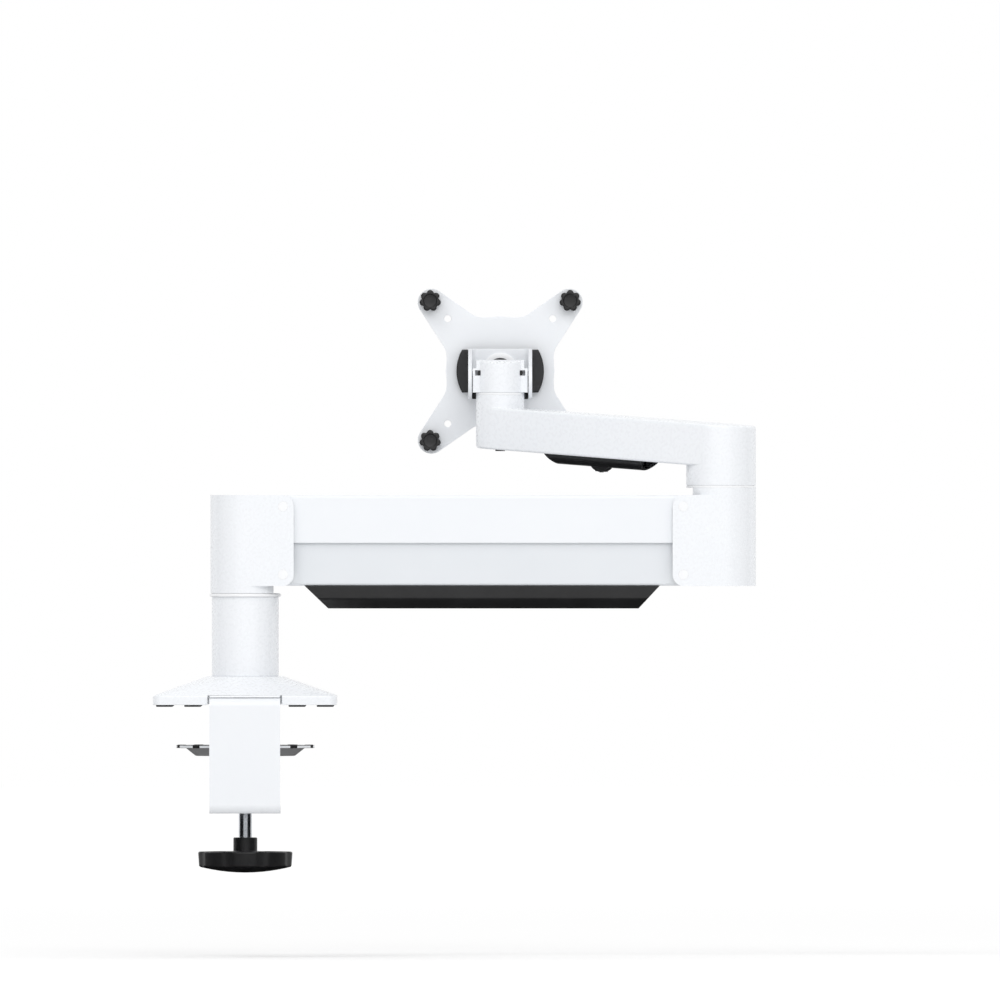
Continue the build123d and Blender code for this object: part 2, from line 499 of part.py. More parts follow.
# ---------------------------------------------------------------- end caps
def end_cap():
    """The end-cap casting on the rear axis: barrel, cheeks either side of the slot, and neck."""
    with BuildPart(mode=Mode.PRIVATE) as cap:
        with BuildSketch(Plane.XZ):
            with Locations((0, PIVOT_MID_Z)):
                Rectangle(CAP_REACH, CAP_HEIGHT, align=(Align.MIN, Align.CENTER))
        extrude(amount=CAP_R, both=True)
        fillet(cap.edges().filter_by(Axis.Y).group_by(Axis.X)[-1], CAP_CORNER)
        add(tube_at(0, 0, CAP_BASE_Z, CAP_TOP_Z, CAP_R))
        with BuildSketch(Plane.XY.offset(CAP_BASE_Z)):
            with Locations((SLOT_BACK, 0)):
                Rectangle(CAP_REACH, 2 * CAP_INNER, align=(Align.MIN, Align.CENTER))
        extrude(amount=CAP_HEIGHT, mode=Mode.SUBTRACT)
        with BuildSketch(Plane.XY.offset(NECK_BASE_Z)):
            Circle(CAP_R)
            with Locations((NECK_FLAT, 0)):
                Rectangle(CAP_R, 2 * CAP_R, align=(Align.MIN, Align.CENTER), mode=Mode.SUBTRACT)
        extrude(amount=NECK_HEIGHT)
        # bore, bush seats and nut recess
        add(tube_at(0, 0, NECK_BASE_Z - 1, CAP_TOP_Z + 1, SPINDLE_R + 1), mode=Mode.SUBTRACT)
        add(tube_at(0, 0, NECK_BASE_Z - 1, NECK_BASE_Z + BUSH_LENGTH, BUSH_OUTER_R), mode=Mode.SUBTRACT)
        add(tube_at(0, 0, SEAT_Z - BUSH_LENGTH, SEAT_Z + 1, BUSH_OUTER_R), mode=Mode.SUBTRACT)
        add(tube_at(0, 0, SEAT_Z, CAP_TOP_Z + 1, RECESS_R), mode=Mode.SUBTRACT)
        for z in (UPPER_Z, LOWER_Z):
            add(rod_along_y(PIVOT_OFFSET, z, -CAP_R - 1, CAP_R + 1, PIN_R), mode=Mode.SUBTRACT)
    return cap.part


def turned_over(shape):
    """The rear cap's part put on the front axis, turned half round about Y."""
    return Location(((ELBOW_X, 0, 2 * PIVOT_MID_Z)), (0, 180, 0)) * shape


def swivel_bushes():
    """The two plain bearings of one end cap."""
    with BuildPart(mode=Mode.PRIVATE) as bushes:
        inner = SPINDLE_R + RUNNING_GAP
        add(tube_at(0, 0, NECK_BASE_Z, NECK_BASE_Z + BUSH_LENGTH, BUSH_OUTER_R, inner))
        add(tube_at(0, 0, SEAT_Z - BUSH_LENGTH, SEAT_Z, BUSH_OUTER_R, inner))
    return bushes.part


def plugs():
    """Flush plugs over the pivot pins and the nut recess of one end cap."""
    with BuildPart(mode=Mode.PRIVATE) as caps:
        add(tube_at(0, 0, CAP_TOP_Z - PIN_CAP, CAP_TOP_Z, RECESS_R))
        for z in (UPPER_Z, LOWER_Z):
            for y in (-CAP_R, CAP_R - PIN_CAP):
                add(rod_along_y(PIVOT_OFFSET, z, y, y + PIN_CAP, PIN_R))
    return caps.part


def pivot_spacers(x):
    """Thin rings that keep the channels clear of one cap's cheeks, at its pivots."""
    with BuildPart(mode=Mode.PRIVATE) as rings:
        for z, half in ((UPPER_Z, UPPER_HALF), (LOWER_Z, LOWER_HALF)):
            width = CAP_INNER - half - 0.2
            for y in (-CAP_INNER, CAP_INNER - width):
                add(rod_along_y(x, z, y, y + width, SPACER_R, PIN_R))
    return rings.part


with BuildPart() as rear_end_cap:
    add(end_cap())
    # ledges either side of the tension nut, with the screw's holes
    with BuildSketch(Plane.XZ):
        with Locations((SLOT_BACK - 1, LEDGE_HIGH_Z), (SLOT_BACK - 1, LEDGE_LOW_Z)):
            Rectangle(LEDGE_END - SLOT_BACK + 1, LEDGE, align=(Align.MIN, Align.MIN))
    extrude(amount=LEDGE_HALF, both=True)
    add(tube_at(PIVOT_OFFSET, 0, LEDGE_LOW_Z - 1, CAP_TOP_Z, TENSION_BORE_R), mode=Mode.SUBTRACT)
save(rear_end_cap, "rear_end_cap")

with BuildPart() as shoulder_bushes:
    add(swivel_bushes())
save(shoulder_bushes, "shoulder_bushes")

with BuildPart() as rear_pivot_pins:
    for y in (-CAP_R + PIN_CAP, SLOT_BACK):
        add(rod_along_y(PIVOT_OFFSET, UPPER_Z, y, y + CAP_R - PIN_CAP - SLOT_BACK, PIN_R))
    add(rod_along_y(PIVOT_OFFSET, LOWER_Z, -CAP_R + PIN_CAP, CAP_R - PIN_CAP, PIN_R))
save(rear_pivot_pins, "rear_pivot_pins")

with BuildPart() as rear_plugs:
    add(plugs())
save(rear_plugs, "rear_plugs")

with BuildPart() as rear_spacers:
    add(pivot_spacers(PIVOT_OFFSET))
save(rear_spacers, "rear_spacers")

with BuildPart() as tension_nut:
    with BuildSketch(Plane.XY.offset(SPRING_Z - 5)):
        with Locations((PIVOT_OFFSET, 0)):
            Rectangle(TRUNNION_NUT, TRUNNION_NUT)
    extrude(amount=10)
    add(rod_along_y(PIVOT_OFFSET, SPRING_Z, -TRUNNION_REACH, TRUNNION_REACH, TRUNNION_R))
    add(tube_at(PIVOT_OFFSET, 0, SPRING_Z - 6, SPRING_Z + 6, TENSION_BORE_R), mode=Mode.SUBTRACT)
save(tension_nut, "tension_nut")

with BuildPart() as tension_screw:
    head_z = LEDGE_HIGH_Z + LEDGE + 0.2
    with BuildSketch(Plane.XY.offset(head_z)):
        with Locations((PIVOT_OFFSET, 0)):
            Circle(TENSION_HEAD_R)
            RegularPolygon(2.3, 6, mode=Mode.SUBTRACT)
    extrude(amount=TENSION_HEAD)
    add(tube_at(PIVOT_OFFSET, 0, head_z, head_z + TENSION_FLOOR, TENSION_HEAD_R))
    add(tube_at(PIVOT_OFFSET, 0, LEDGE_LOW_Z - 3, head_z, TENSION_R))
    add(tube_at(PIVOT_OFFSET, 0, LEDGE_LOW_Z - 2, LEDGE_LOW_Z - 0.3, TENSION_HEAD_R))
save(tension_screw, "tension_screw")

with BuildPart() as front_end_cap:
    add(turned_over(end_cap()))
save(front_end_cap, "front_end_cap")

with BuildPart() as elbow_bushes:
    add(turned_over(swivel_bushes()))
save(elbow_bushes, "elbow_bushes")

with BuildPart() as front_pivot_pins:
    for z in (UPPER_Z, LOWER_Z):
        add(rod_along_y(FRONT_PIVOT_X, z, -CAP_R + PIN_CAP, CAP_R - PIN_CAP, PIN_R))
save(front_pivot_pins, "front_pivot_pins")

with BuildPart() as front_plugs:
    add(turned_over(plugs()))
save(front_plugs, "front_plugs")

with BuildPart() as front_spacers:
    add(pivot_spacers(FRONT_PIVOT_X))
save(front_spacers, "front_spacers")


# ---------------------------------------------------------------- channels of the beam
def channel(pivot_z, half, rise, web_side):
    """A folded channel between the pivots: web_side +1 has its web on top, -1 underneath."""
    reach = PIVOT_OFFSET - SLOT_BACK - NOSE_GAP
    lean = radians(LIFT_UP)
    free = -web_side * rise
    knee_v = (-reach + WEB_OUT * cos(lean)) / sin(lean)
    foot_u = (-reach + rise * sin(lean)) / cos(lean)
    knee = (-WEB_OUT, web_side * knee_v)
    toe = (foot_u, free)
    web_v = web_side * WEB_OUT
    with BuildPart(mode=Mode.PRIVATE) as bar:
        with BuildSketch(Plane(origin=(0, 0, 0), x_dir=(1, 0, 0), z_dir=(0, -1, 0))):
            with BuildLine():
                left, right = PIVOT_OFFSET, FRONT_PIVOT_X
                turn = WEB_OUT * sqrt(0.5)
                ThreePointArc(
                    (left, pivot_z + web_v), (left - turn, pivot_z + web_side * turn),
                    (left - WEB_OUT, pivot_z),
                )
                Polyline(
                    (left - WEB_OUT, pivot_z), (left + knee[0], pivot_z + knee[1]),
                    (left + toe[0], pivot_z + toe[1]), (right - toe[0], pivot_z + toe[1]),
                    (right - knee[0], pivot_z + knee[1]), (right + WEB_OUT, pivot_z),
                )
                ThreePointArc(
                    (right + WEB_OUT, pivot_z), (right + turn, pivot_z + web_side * turn),
                    (right, pivot_z + web_v),
                )
                Line((right, pivot_z + web_v), (left, pivot_z + web_v))
            make_face()
        extrude(amount=half, both=True)
        web_edges = bar.edges().filter_by(Axis.X).sort_by(Axis.Z)
        fillet(web_edges[-2:] if web_side > 0 else web_edges[:2], EDGE_R)
        with BuildSketch(Plane(origin=(0, 0, 0), x_dir=(1, 0, 0), z_dir=(0, -1, 0))):
            inner_v = web_side * (WEB_OUT - WALL)
            middle = pivot_z + (inner_v + free - web_side) / 2
            with Locations(((left + right) / 2, middle)):
                Rectangle(LINK_LENGTH + 4 * WEB_OUT, abs(inner_v - free + web_side))
        extrude(amount=half - WALL, both=True, mode=Mode.SUBTRACT)
        for x in (left, right):
            add(rod_along_y(x, pivot_z, -half - 1, half + 1, LINK_BUSH_R), mode=Mode.SUBTRACT)
    return bar.part


def link_bushes(pivot_z, half):
    """Bearing rings in one channel's walls, at both pivots."""
    with BuildPart(mode=Mode.PRIVATE) as rings:
        for x in (PIVOT_OFFSET, FRONT_PIVOT_X):
            for y in (-half, half - WALL - 0.3):
                add(rod_along_y(x, pivot_z, y, y + WALL + 0.3, LINK_BUSH_R, PIN_R + RUNNING_GAP))
    return rings.part


with BuildPart() as upper_channel:
    add(channel(UPPER_Z, UPPER_HALF, UPPER_WALL_DROP, 1))
    # the web stops short of the nose, so the tension screw can be reached
    with BuildSketch(Plane.XY.offset(UPPER_Z)):
        web_ends = (PIVOT_OFFSET + WEB_SETBACK, FRONT_PIVOT_X - WEB_SETBACK)
        for x, side in zip(web_ends, (Align.MAX, Align.MIN)):
            with Locations((x, 0)):
                Rectangle(4 * WEB_OUT, 2 * (UPPER_HALF - WALL), align=(side, Align.CENTER))
    extrude(amount=WEB_OUT + 1, mode=Mode.SUBTRACT)
    # lugs under the web that hold the gas spring's eye
    for y in (-LUG_START - LUG_SHEET, LUG_START):
        with BuildSketch(Plane.XZ.offset(-y)):
            with Locations((CYLINDER_TAIL_X, ROD_Z)):
                Circle(LUG_R)
            with Locations((CYLINDER_TAIL_X, UPPER_Z + WEB_OUT - WALL)):
                Rectangle(3 * LUG_R, WALL / 2, align=(Align.CENTER, Align.MIN))
            make_hull()
            with Locations((CYLINDER_TAIL_X, ROD_Z)):
                Circle(CYLINDER_PIN_R, mode=Mode.SUBTRACT)
        extrude(amount=-LUG_SHEET)
save(upper_channel, "upper_channel")

with BuildPart() as upper_bushes:
    add(link_bushes(UPPER_Z, UPPER_HALF))
save(upper_bushes, "upper_bushes")

with BuildPart() as lower_channel:
    add(channel(LOWER_Z, LOWER_HALF, LOWER_WALL_RISE, -1))
    with BuildSketch(Plane.XY.offset(LOWER_Z - WEB_OUT - 1)):
        for x, side in ((PIVOT_OFFSET, Align.MAX), (FRONT_PIVOT_X, Align.MIN)):
            with Locations((x, 0)):
                Rectangle(4 * WEB_OUT, 2 * (LOWER_HALF - WALL), align=(side, Align.CENTER))
        with Locations(*[(x, y) for x in TRAY_HOOKS for y in (-TRAY_HOOK_Y, TRAY_HOOK_Y)]):
            Rectangle(HOOK_LENGTH + 0.6, HOOK_SHEET + 1)
    extrude(amount=WEB_OUT, mode=Mode.SUBTRACT)
save(lower_channel, "lower_channel")

with BuildPart() as lower_bushes:
    add(link_bushes(LOWER_Z, LOWER_HALF))
save(lower_bushes, "lower_bushes")

# ---------------------------------------------------------------- gas spring
SPRING_PLANE = Plane(origin=(0, 0, ROD_Z), x_dir=(0, 1, 0), z_dir=(1, 0, 0))
CYLINDER_X = PIVOT_OFFSET + CYLINDER_START
with BuildPart() as gas_cylinder:
    with BuildSketch(SPRING_PLANE.offset(CYLINDER_X)):
        Circle(CYLINDER_R)
    extrude(amount=CYLINDER_LENGTH)
    fillet(gas_cylinder.edges().group_by(Axis.X)[-1], 2.5)
    with BuildSketch(SPRING_PLANE.offset(CYLINDER_X)):
        Circle(CYLINDER_R - CYLINDER_WALL)
    extrude(amount=CYLINDER_LENGTH - END_WALL, mode=Mode.SUBTRACT)
    with BuildSketch(SPRING_PLANE.offset(CYLINDER_X + CYLINDER_LENGTH)):
        Circle(TAIL_R)
    extrude(amount=8)
    add(rod_along_y(CYLINDER_TAIL_X, ROD_Z, -EYE_HALF, EYE_HALF, EYE_R))
    add(rod_along_y(CYLINDER_TAIL_X, ROD_Z, -EYE_R, EYE_R, CYLINDER_PIN_R), mode=Mode.SUBTRACT)
save(gas_cylinder, "gas_cylinder")

with BuildPart() as cylinder_gland:
    with BuildSketch(SPRING_PLANE.offset(CYLINDER_X - GLAND_LIP)):
        Circle(CYLINDER_R - 1)
    extrude(amount=GLAND_LIP)
    with BuildSketch(SPRING_PLANE.offset(CYLINDER_X)):
        Circle(CYLINDER_R - CYLINDER_WALL)
    extrude(amount=GLAND_DEPTH)
    with BuildSketch(SPRING_PLANE.offset(CYLINDER_X - GLAND_LIP - 1)):
        Circle(ROD_R + RUNNING_GAP)
    extrude(amount=GLAND_LIP + GLAND_DEPTH + 2, mode=Mode.SUBTRACT)
save(cylinder_gland, "cylinder_gland")

with BuildPart() as cylinder_pin:
    pin_half = LUG_START + LUG_SHEET + 1.2
    add(rod_along_y(CYLINDER_TAIL_X, ROD_Z, -pin_half, pin_half, CYLINDER_PIN_R))
    for y in (-pin_half, pin_half - 1):
        add(rod_along_y(CYLINDER_TAIL_X, ROD_Z, y, y + 1, CYLINDER_PIN_R + 1.4))
save(cylinder_pin, "cylinder_pin")

FORK_END_X = PIVOT_OFFSET + FORK_BASE + FORK_BLOCK
with BuildPart() as gas_rod:
    rod_start = FORK_END_X - FORK_THREAD
    with BuildSketch(SPRING_PLANE.offset(rod_start)):
        Circle(ROD_R)
    extrude(amount=ROD_LENGTH)
    with BuildSketch(SPRING_PLANE.offset(rod_start + ROD_LENGTH - PISTON)):
        Circle(CYLINDER_R - CYLINDER_WALL - RUNNING_GAP)
    extrude(amount=PISTON)
save(gas_rod, "gas_rod")

with BuildPart() as rod_fork:
    with BuildSketch(Plane(origin=(0, 0, 0), x_dir=(1, 0, 0), z_dir=(0, -1, 0))):
        with Locations((PIVOT_OFFSET, ROD_Z)):
            Circle(FORK_R)
            Rectangle(FORK_BASE + 1, FORK_DEPTH, align=(Align.MIN, Align.CENTER))
    extrude(amount=FORK_HALF, both=True)
    with BuildSketch(Plane.XY.offset(ROD_Z - FORK_R - 1)):
        with Locations((PIVOT_OFFSET - FORK_R - 1, 0)):
            Rectangle(FORK_R + 1 + FORK_BASE, FORK_SLOT, align=(Align.MIN, Align.CENTER))
    extrude(amount=2 * FORK_R + 2, mode=Mode.SUBTRACT)
    with BuildSketch(Plane.XY.offset(ROD_Z - FORK_DEPTH / 2)):
        with Locations((PIVOT_OFFSET + FORK_BASE, 0)):
            Rectangle(FORK_BLOCK, 2 * FORK_HALF, align=(Align.MIN, Align.CENTER))
    extrude(amount=FORK_DEPTH)
    add(rod_along_y(PIVOT_OFFSET, ROD_Z, -10, 10, FORK_HOLE_R), mode=Mode.SUBTRACT)
    with BuildSketch(SPRING_PLANE.offset(FORK_END_X - FORK_THREAD)):
        Circle(ROD_R)
    extrude(amount=FORK_THREAD + 1, mode=Mode.SUBTRACT)
save(rod_fork, "rod_fork")

# ---------------------------------------------------------------- cable tray
TRAY_TOP_Z = LOWER_Z - WEB_OUT
TRAY_BASE_Z = TRAY_TOP_Z - TRAY_HEIGHT
with BuildPart() as cable_tray:
    tray_plane = Plane(origin=(TRAY_START - TRAY_HEIGHT, 0, 0), x_dir=(0, 1, 0), z_dir=(1, 0, 0))
    for inset, mode in ((0.0, Mode.ADD), (TRAY_WALL, Mode.SUBTRACT)):
        knee_z = TRAY_TOP_Z - TRAY_UPRIGHT + inset * 0.4
        lift = 0.0 if mode == Mode.ADD else 1.0
        with BuildSketch(tray_plane) as section:
            with BuildLine():
                Polyline(
                    (-LOWER_HALF + inset, TRAY_TOP_Z + lift), (-LOWER_HALF + inset, knee_z),
                    (-TRAY_BOTTOM_HALF + inset * 0.4, TRAY_BASE_Z + inset),
                    (TRAY_BOTTOM_HALF - inset * 0.4, TRAY_BASE_Z + inset),
                    (LOWER_HALF - inset, knee_z), (LOWER_HALF - inset, TRAY_TOP_Z + lift),
                    close=True,
                )
            make_face()
            fillet(section.vertices().sort_by(Axis.Z)[:4], 3.0 - inset)
        extrude(amount=TRAY_END - TRAY_START + 2 * TRAY_HEIGHT, mode=mode)
    # slanted open ends
    with BuildSketch(Plane.XZ):
        with BuildLine():
            rise, fall = 2.0, TRAY_HEIGHT + 2.0
            Polyline(
                (TRAY_START - rise * TRAY_REAR_SLANT, TRAY_TOP_Z + rise),
                (TRAY_START + fall * TRAY_REAR_SLANT, TRAY_TOP_Z - fall),
                (TRAY_END - fall * TRAY_FRONT_SLANT, TRAY_TOP_Z - fall),
                (TRAY_END + rise * TRAY_FRONT_SLANT, TRAY_TOP_Z + rise), close=True,
            )
        make_face()
    extrude(amount=LOWER_HALF + 1, both=True, mode=Mode.INTERSECT)
    for x in TRAY_HOOKS:
        for y in (-TRAY_HOOK_Y, TRAY_HOOK_Y):
            with BuildSketch(Plane.XY.offset(TRAY_BASE_Z + TRAY_WALL / 2)):
                with Locations((x, y)):
                    Rectangle(HOOK_LENGTH, HOOK_SHEET)
            extrude(amount=TRAY_HEIGHT - TRAY_WALL / 2 + WALL + 1)
            with BuildSketch(Plane.XY.offset(TRAY_TOP_Z + WALL + 0.2)):
                with Locations((x, y)):
                    Rectangle(HOOK_LENGTH, 2 * HOOK_SHEET)
            extrude(amount=1.4)
save(cable_tray, "cable_tray")

# ---------------------------------------------------------------- elbow and extension arm
with BuildPart() as elbow_washer:
    add(tube_at(ELBOW_X, 0, NECK_TOP_Z, NECK_TOP_Z + WASHER, ELBOW_R, SPINDLE_R + 0.3))
save(elbow_washer, "elbow_washer")

ELBOW_SEAT_Z = 2 * PIVOT_MID_Z - SEAT_Z
BARREL_BASE_Z = NECK_TOP_Z + WASHER + FACE_GAP
SPINDLE_TOP_Z = ARM_UNDER_Z + ARM_THICKNESS - 10
with BuildPart() as elbow_spindle:
    add(tube_at(ELBOW_X, 0, ELBOW_SEAT_Z - FACE_GAP, SPINDLE_TOP_Z, SPINDLE_R))
    add(tube_at(ELBOW_X, 0, ELBOW_SEAT_Z - NECK_STUD, ELBOW_SEAT_Z - FACE_GAP, NECK_STUD_R))
    chamfer(elbow_spindle.edges().group_by(Axis.Z)[0], 0.8)
save(elbow_spindle, "elbow_spindle")

with BuildPart() as elbow_nut:
    add(tube_at(ELBOW_X, 0, ELBOW_SEAT_Z - FLANGE, ELBOW_SEAT_Z - FACE_GAP, FLANGE_R, NECK_STUD_R))
    with BuildSketch(Plane.XY.offset(ELBOW_SEAT_Z - FLANGE - SWIVEL_NUT)):
        with Locations((ELBOW_X, 0)):
            RegularPolygon(SWIVEL_NUT_FLAT, 6, major_radius=False)
            Circle(NECK_STUD_R, mode=Mode.SUBTRACT)
    extrude(amount=SWIVEL_NUT)
save(elbow_nut, "elbow_nut")

HEADING = radians(ARM_HEADING)
ARM_SIDE = Plane(
    origin=(ELBOW_X, 0, 0), x_dir=(cos(HEADING), sin(HEADING), 0), z_dir=(sin(HEADING), -cos(HEADING), 0)
)


def arm_plan(z):
    """The horizontal plane at a height whose x runs from the elbow to the wrist."""
    return Plane(origin=(ELBOW_X, 0, z), x_dir=(cos(HEADING), sin(HEADING), 0), z_dir=(0, 0, 1))


def along_arm(low, high, start, end):
    """Corners of a side-view strip between two heights at the elbow, sloped with the arm."""
    corners = [(start, low), (end, low), (end, high), (start, high)]
    return [(u, v + RISE * u) for u, v in corners]


with BuildPart() as extension_arm:
    with BuildSketch(arm_plan(ARM_UNDER_Z - 20)):
        Circle(ELBOW_R)
        with Locations((ARM_LENGTH, 0)):
            Circle(WRIST_R)
        make_hull()
    extrude(amount=WRIST_TOP_Z - ARM_UNDER_Z + 40)
    with BuildSketch(ARM_SIDE):
        ends = (-ELBOW_R - 5, ARM_LENGTH + WRIST_R + 5)
        with BuildLine():
            Polyline(*along_arm(ARM_UNDER_Z, ARM_UNDER_Z + ARM_THICKNESS, *ends), close=True)
        make_face()
    extrude(amount=ELBOW_R + 5, both=True, mode=Mode.INTERSECT)
    upper_face = extension_arm.faces().sort_by(Axis.Z)[-1]
    fillet(upper_face.edges(), ARM_EDGE_R)
    lower_face = extension_arm.faces().sort_by(Axis.Z)[0]
    fillet(lower_face.edges(), ARM_EDGE_R)
    add(tube_at(ELBOW_X, 0, BARREL_BASE_Z, ARM_UNDER_Z + 12, ELBOW_R))
    add(tube_at(WRIST_X, WRIST_Y, WRIST_UNDER_Z + 0.5, WRIST_TOP_Z, WRIST_R))
    # cable pocket, open underneath
    with BuildSketch(arm_plan(ARM_UNDER_Z - 5)):
        with Locations(((POCKET_START + POCKET_END) / 2, 0)):
            RectangleRounded(POCKET_END - POCKET_START, POCKET_WIDTH, POCKET_CORNER)
    extrude(amount=POCKET_DEPTH + 8, mode=Mode.SUBTRACT)
    add(tube_at(ELBOW_X, 0, BARREL_BASE_Z - 1, SPINDLE_TOP_Z, SPINDLE_R), mode=Mode.SUBTRACT)
    add(tube_at(WRIST_X, WRIST_Y, ARM_UNDER_Z, WRIST_LIP_Z, BUSH_WRIST_R), mode=Mode.SUBTRACT)
    add(tube_at(WRIST_X, WRIST_Y, ARM_UNDER_Z, WRIST_TOP_Z + 1, WRIST_SPINDLE_R + 0.3), mode=Mode.SUBTRACT)
    add(tube_at(WRIST_X, WRIST_Y, WRIST_LIP_Z + 2, WRIST_TOP_Z + 1, BUSH_WRIST_R), mode=Mode.SUBTRACT)
save(extension_arm, "extension_arm")

CLIP_BASE_Z = ARM_UNDER_Z - 0.1
SLOPE = radians(ARM_SLOPE)
CLIP_SPAN = Plane(
    origin=ARM_SIDE.from_local_coords((CLIP_CENTRE, CLIP_BASE_Z + RISE * CLIP_CENTRE, 0)),
    x_dir=(sin(HEADING), -cos(HEADING), 0),
    z_dir=(cos(HEADING) * cos(SLOPE), sin(HEADING) * cos(SLOPE), sin(SLOPE)),
)


def clip_section(inset):
    """Points of the clip's oval outline: its two tight sides and its long bottom curve."""
    half, depth, side = CLIP_WIDTH / 2 - inset, CLIP_DEPTH - inset, CLIP_SHOULDER_R - inset
    centre = half - side
    bottom = (centre**2 + depth**2 - side**2) / (2 * (depth - side))
    away = bottom - side
    touch = (bottom * centre / away, bottom * (bottom - depth) / away - (bottom - depth))
    middle = (centre + side * cos(radians(30)), side * sin(radians(30)))
    return (half, 0), middle, touch, (0, depth)


def on_clip(u, v):
    """A point of the arm's side view, u along the arm from the clip's centre and v below its top."""
    return CLIP_CENTRE + u, CLIP_BASE_Z - v + RISE * (CLIP_CENTRE + u)


with BuildPart() as cable_clip:
    for inset, mode in ((0.0, Mode.ADD), (CLIP_WALL, Mode.SUBTRACT)):
        corner, middle, touch, bottom = clip_section(inset)
        with BuildSketch(CLIP_SPAN):
            with BuildLine():
                for side in (1, -1):
                    ThreePointArc(
                        (side * corner[0], 0), (side * middle[0], middle[1]), (side * touch[0], touch[1])
                    )
                ThreePointArc(touch, bottom, (-touch[0], touch[1]))
                Line((-corner[0], 0), corner)
            make_face()
        extrude(amount=CLIP_LENGTH / 2, both=True, mode=mode)
    # slanted ends
    half = CLIP_LENGTH / 2
    with BuildSketch(ARM_SIDE):
        with BuildLine():
            Polyline(
                on_clip(-half, 0), on_clip(-half + CLIP_END, CLIP_DEPTH),
                on_clip(-half + CLIP_END, CLIP_DEPTH + 1), on_clip(half - CLIP_END, CLIP_DEPTH + 1),
                on_clip(half - CLIP_END, CLIP_DEPTH), on_clip(half, 0), close=True,
            )
        make_face()
    extrude(amount=CLIP_WIDTH, both=True, mode=Mode.INTERSECT)
    # thumb tab, and the four prongs that snap into the arm's pocket
    tab_top = CLIP_DEPTH - CLIP_WALL
    with BuildSketch(ARM_SIDE):
        with BuildLine():
            ThreePointArc(
                on_clip(-TAB_HALF, tab_top), on_clip(0, tab_top + TAB_DEPTH), on_clip(TAB_HALF, tab_top)
            )
            Line(on_clip(TAB_HALF, tab_top), on_clip(-TAB_HALF, tab_top))
        make_face()
    extrude(amount=TAB_SHEET / 2, both=True)
    for side in (-1, 1):
        for u in (-26.0, 26.0):
            along, height = on_clip(u, 2.2)
            with BuildSketch(arm_plan(height)):
                with Locations((along, side * (POCKET_WIDTH / 2 - 1.3))):
                    Rectangle(10, 2)
            extrude(amount=9)
save(cable_clip, "cable_clip")

# ---------------------------------------------------------------- wrist
with BuildPart() as wrist_bushes:
    inner = WRIST_SPINDLE_R + RUNNING_GAP
    for z in (WRIST_LIP_Z + 2, WRIST_TOP_Z - WRIST_BUSH):
        add(tube_at(WRIST_X, WRIST_Y, z, z + WRIST_BUSH, BUSH_WRIST_R, inner))
save(wrist_bushes, "wrist_bushes")

with BuildPart() as wrist_washer:
    add(tube_at(WRIST_X, WRIST_Y, WRIST_TOP_Z, WRIST_TOP_Z + WASHER, WRIST_R, WRIST_SPINDLE_R + 0.3))
save(wrist_washer, "wrist_washer")

# ---------------------------------------------------------------- tilt block and axle
HEAD_SIDE = Plane(origin=(WRIST_X, WRIST_Y, 0), x_dir=(0, 1, 0), z_dir=(1, 0, 0))


def rod_along_x(y, z, x_low, x_high, outer, inner=0.0):
    """A private rod or ring whose axis runs along X, measured from the wrist axis."""
    with BuildPart(mode=Mode.PRIVATE) as rod:
        with BuildSketch(HEAD_SIDE.offset(x_low)):
            with Locations((y, z)):
                Circle(outer)
                if inner:
                    Circle(inner, mode=Mode.SUBTRACT)
        extrude(amount=x_high - x_low)
    return rod.part


SPINDLE_FOOT_Z = WRIST_LIP_Z - 0.4
SEAT_TOP_Z = BLOCK_BASE_Z + SPINDLE_SEAT
with BuildPart() as wrist_spindle:
    add(tube_at(WRIST_X, WRIST_Y, SPINDLE_FOOT_Z, SEAT_TOP_Z, WRIST_SPINDLE_R))
    bolt_hole = tube_at(WRIST_X, WRIST_Y, SPINDLE_FOOT_Z - 1, SPINDLE_FOOT_Z + WRIST_BOLT + 2, WRIST_BOLT_R)
    add(bolt_hole, mode=Mode.SUBTRACT)
    add(rod_along_x(0, AXLE_Z, -WRIST_R, WRIST_R, AXLE_R), mode=Mode.SUBTRACT)
save(wrist_spindle, "wrist_spindle")

with BuildPart() as wrist_bolt:
    disc_z = SPINDLE_FOOT_Z - 2
    add(tube_at(WRIST_X, WRIST_Y, disc_z, SPINDLE_FOOT_Z, WRIST_DISC_R, WRIST_BOLT_R))
    add(tube_at(WRIST_X, WRIST_Y, disc_z, SPINDLE_FOOT_Z + WRIST_BOLT, WRIST_BOLT_R))
    with BuildSketch(Plane.XY.offset(disc_z - 2 * WRIST_BOLT_R)):
        with Locations((WRIST_X, WRIST_Y)):
            Circle(WRIST_HEAD_R)
            RegularPolygon(WRIST_HEAD_R / 2, 6, mode=Mode.SUBTRACT)
    extrude(amount=2.5)
    add(tube_at(WRIST_X, WRIST_Y, disc_z - 1.5, disc_z, WRIST_HEAD_R))
save(wrist_bolt, "wrist_bolt")

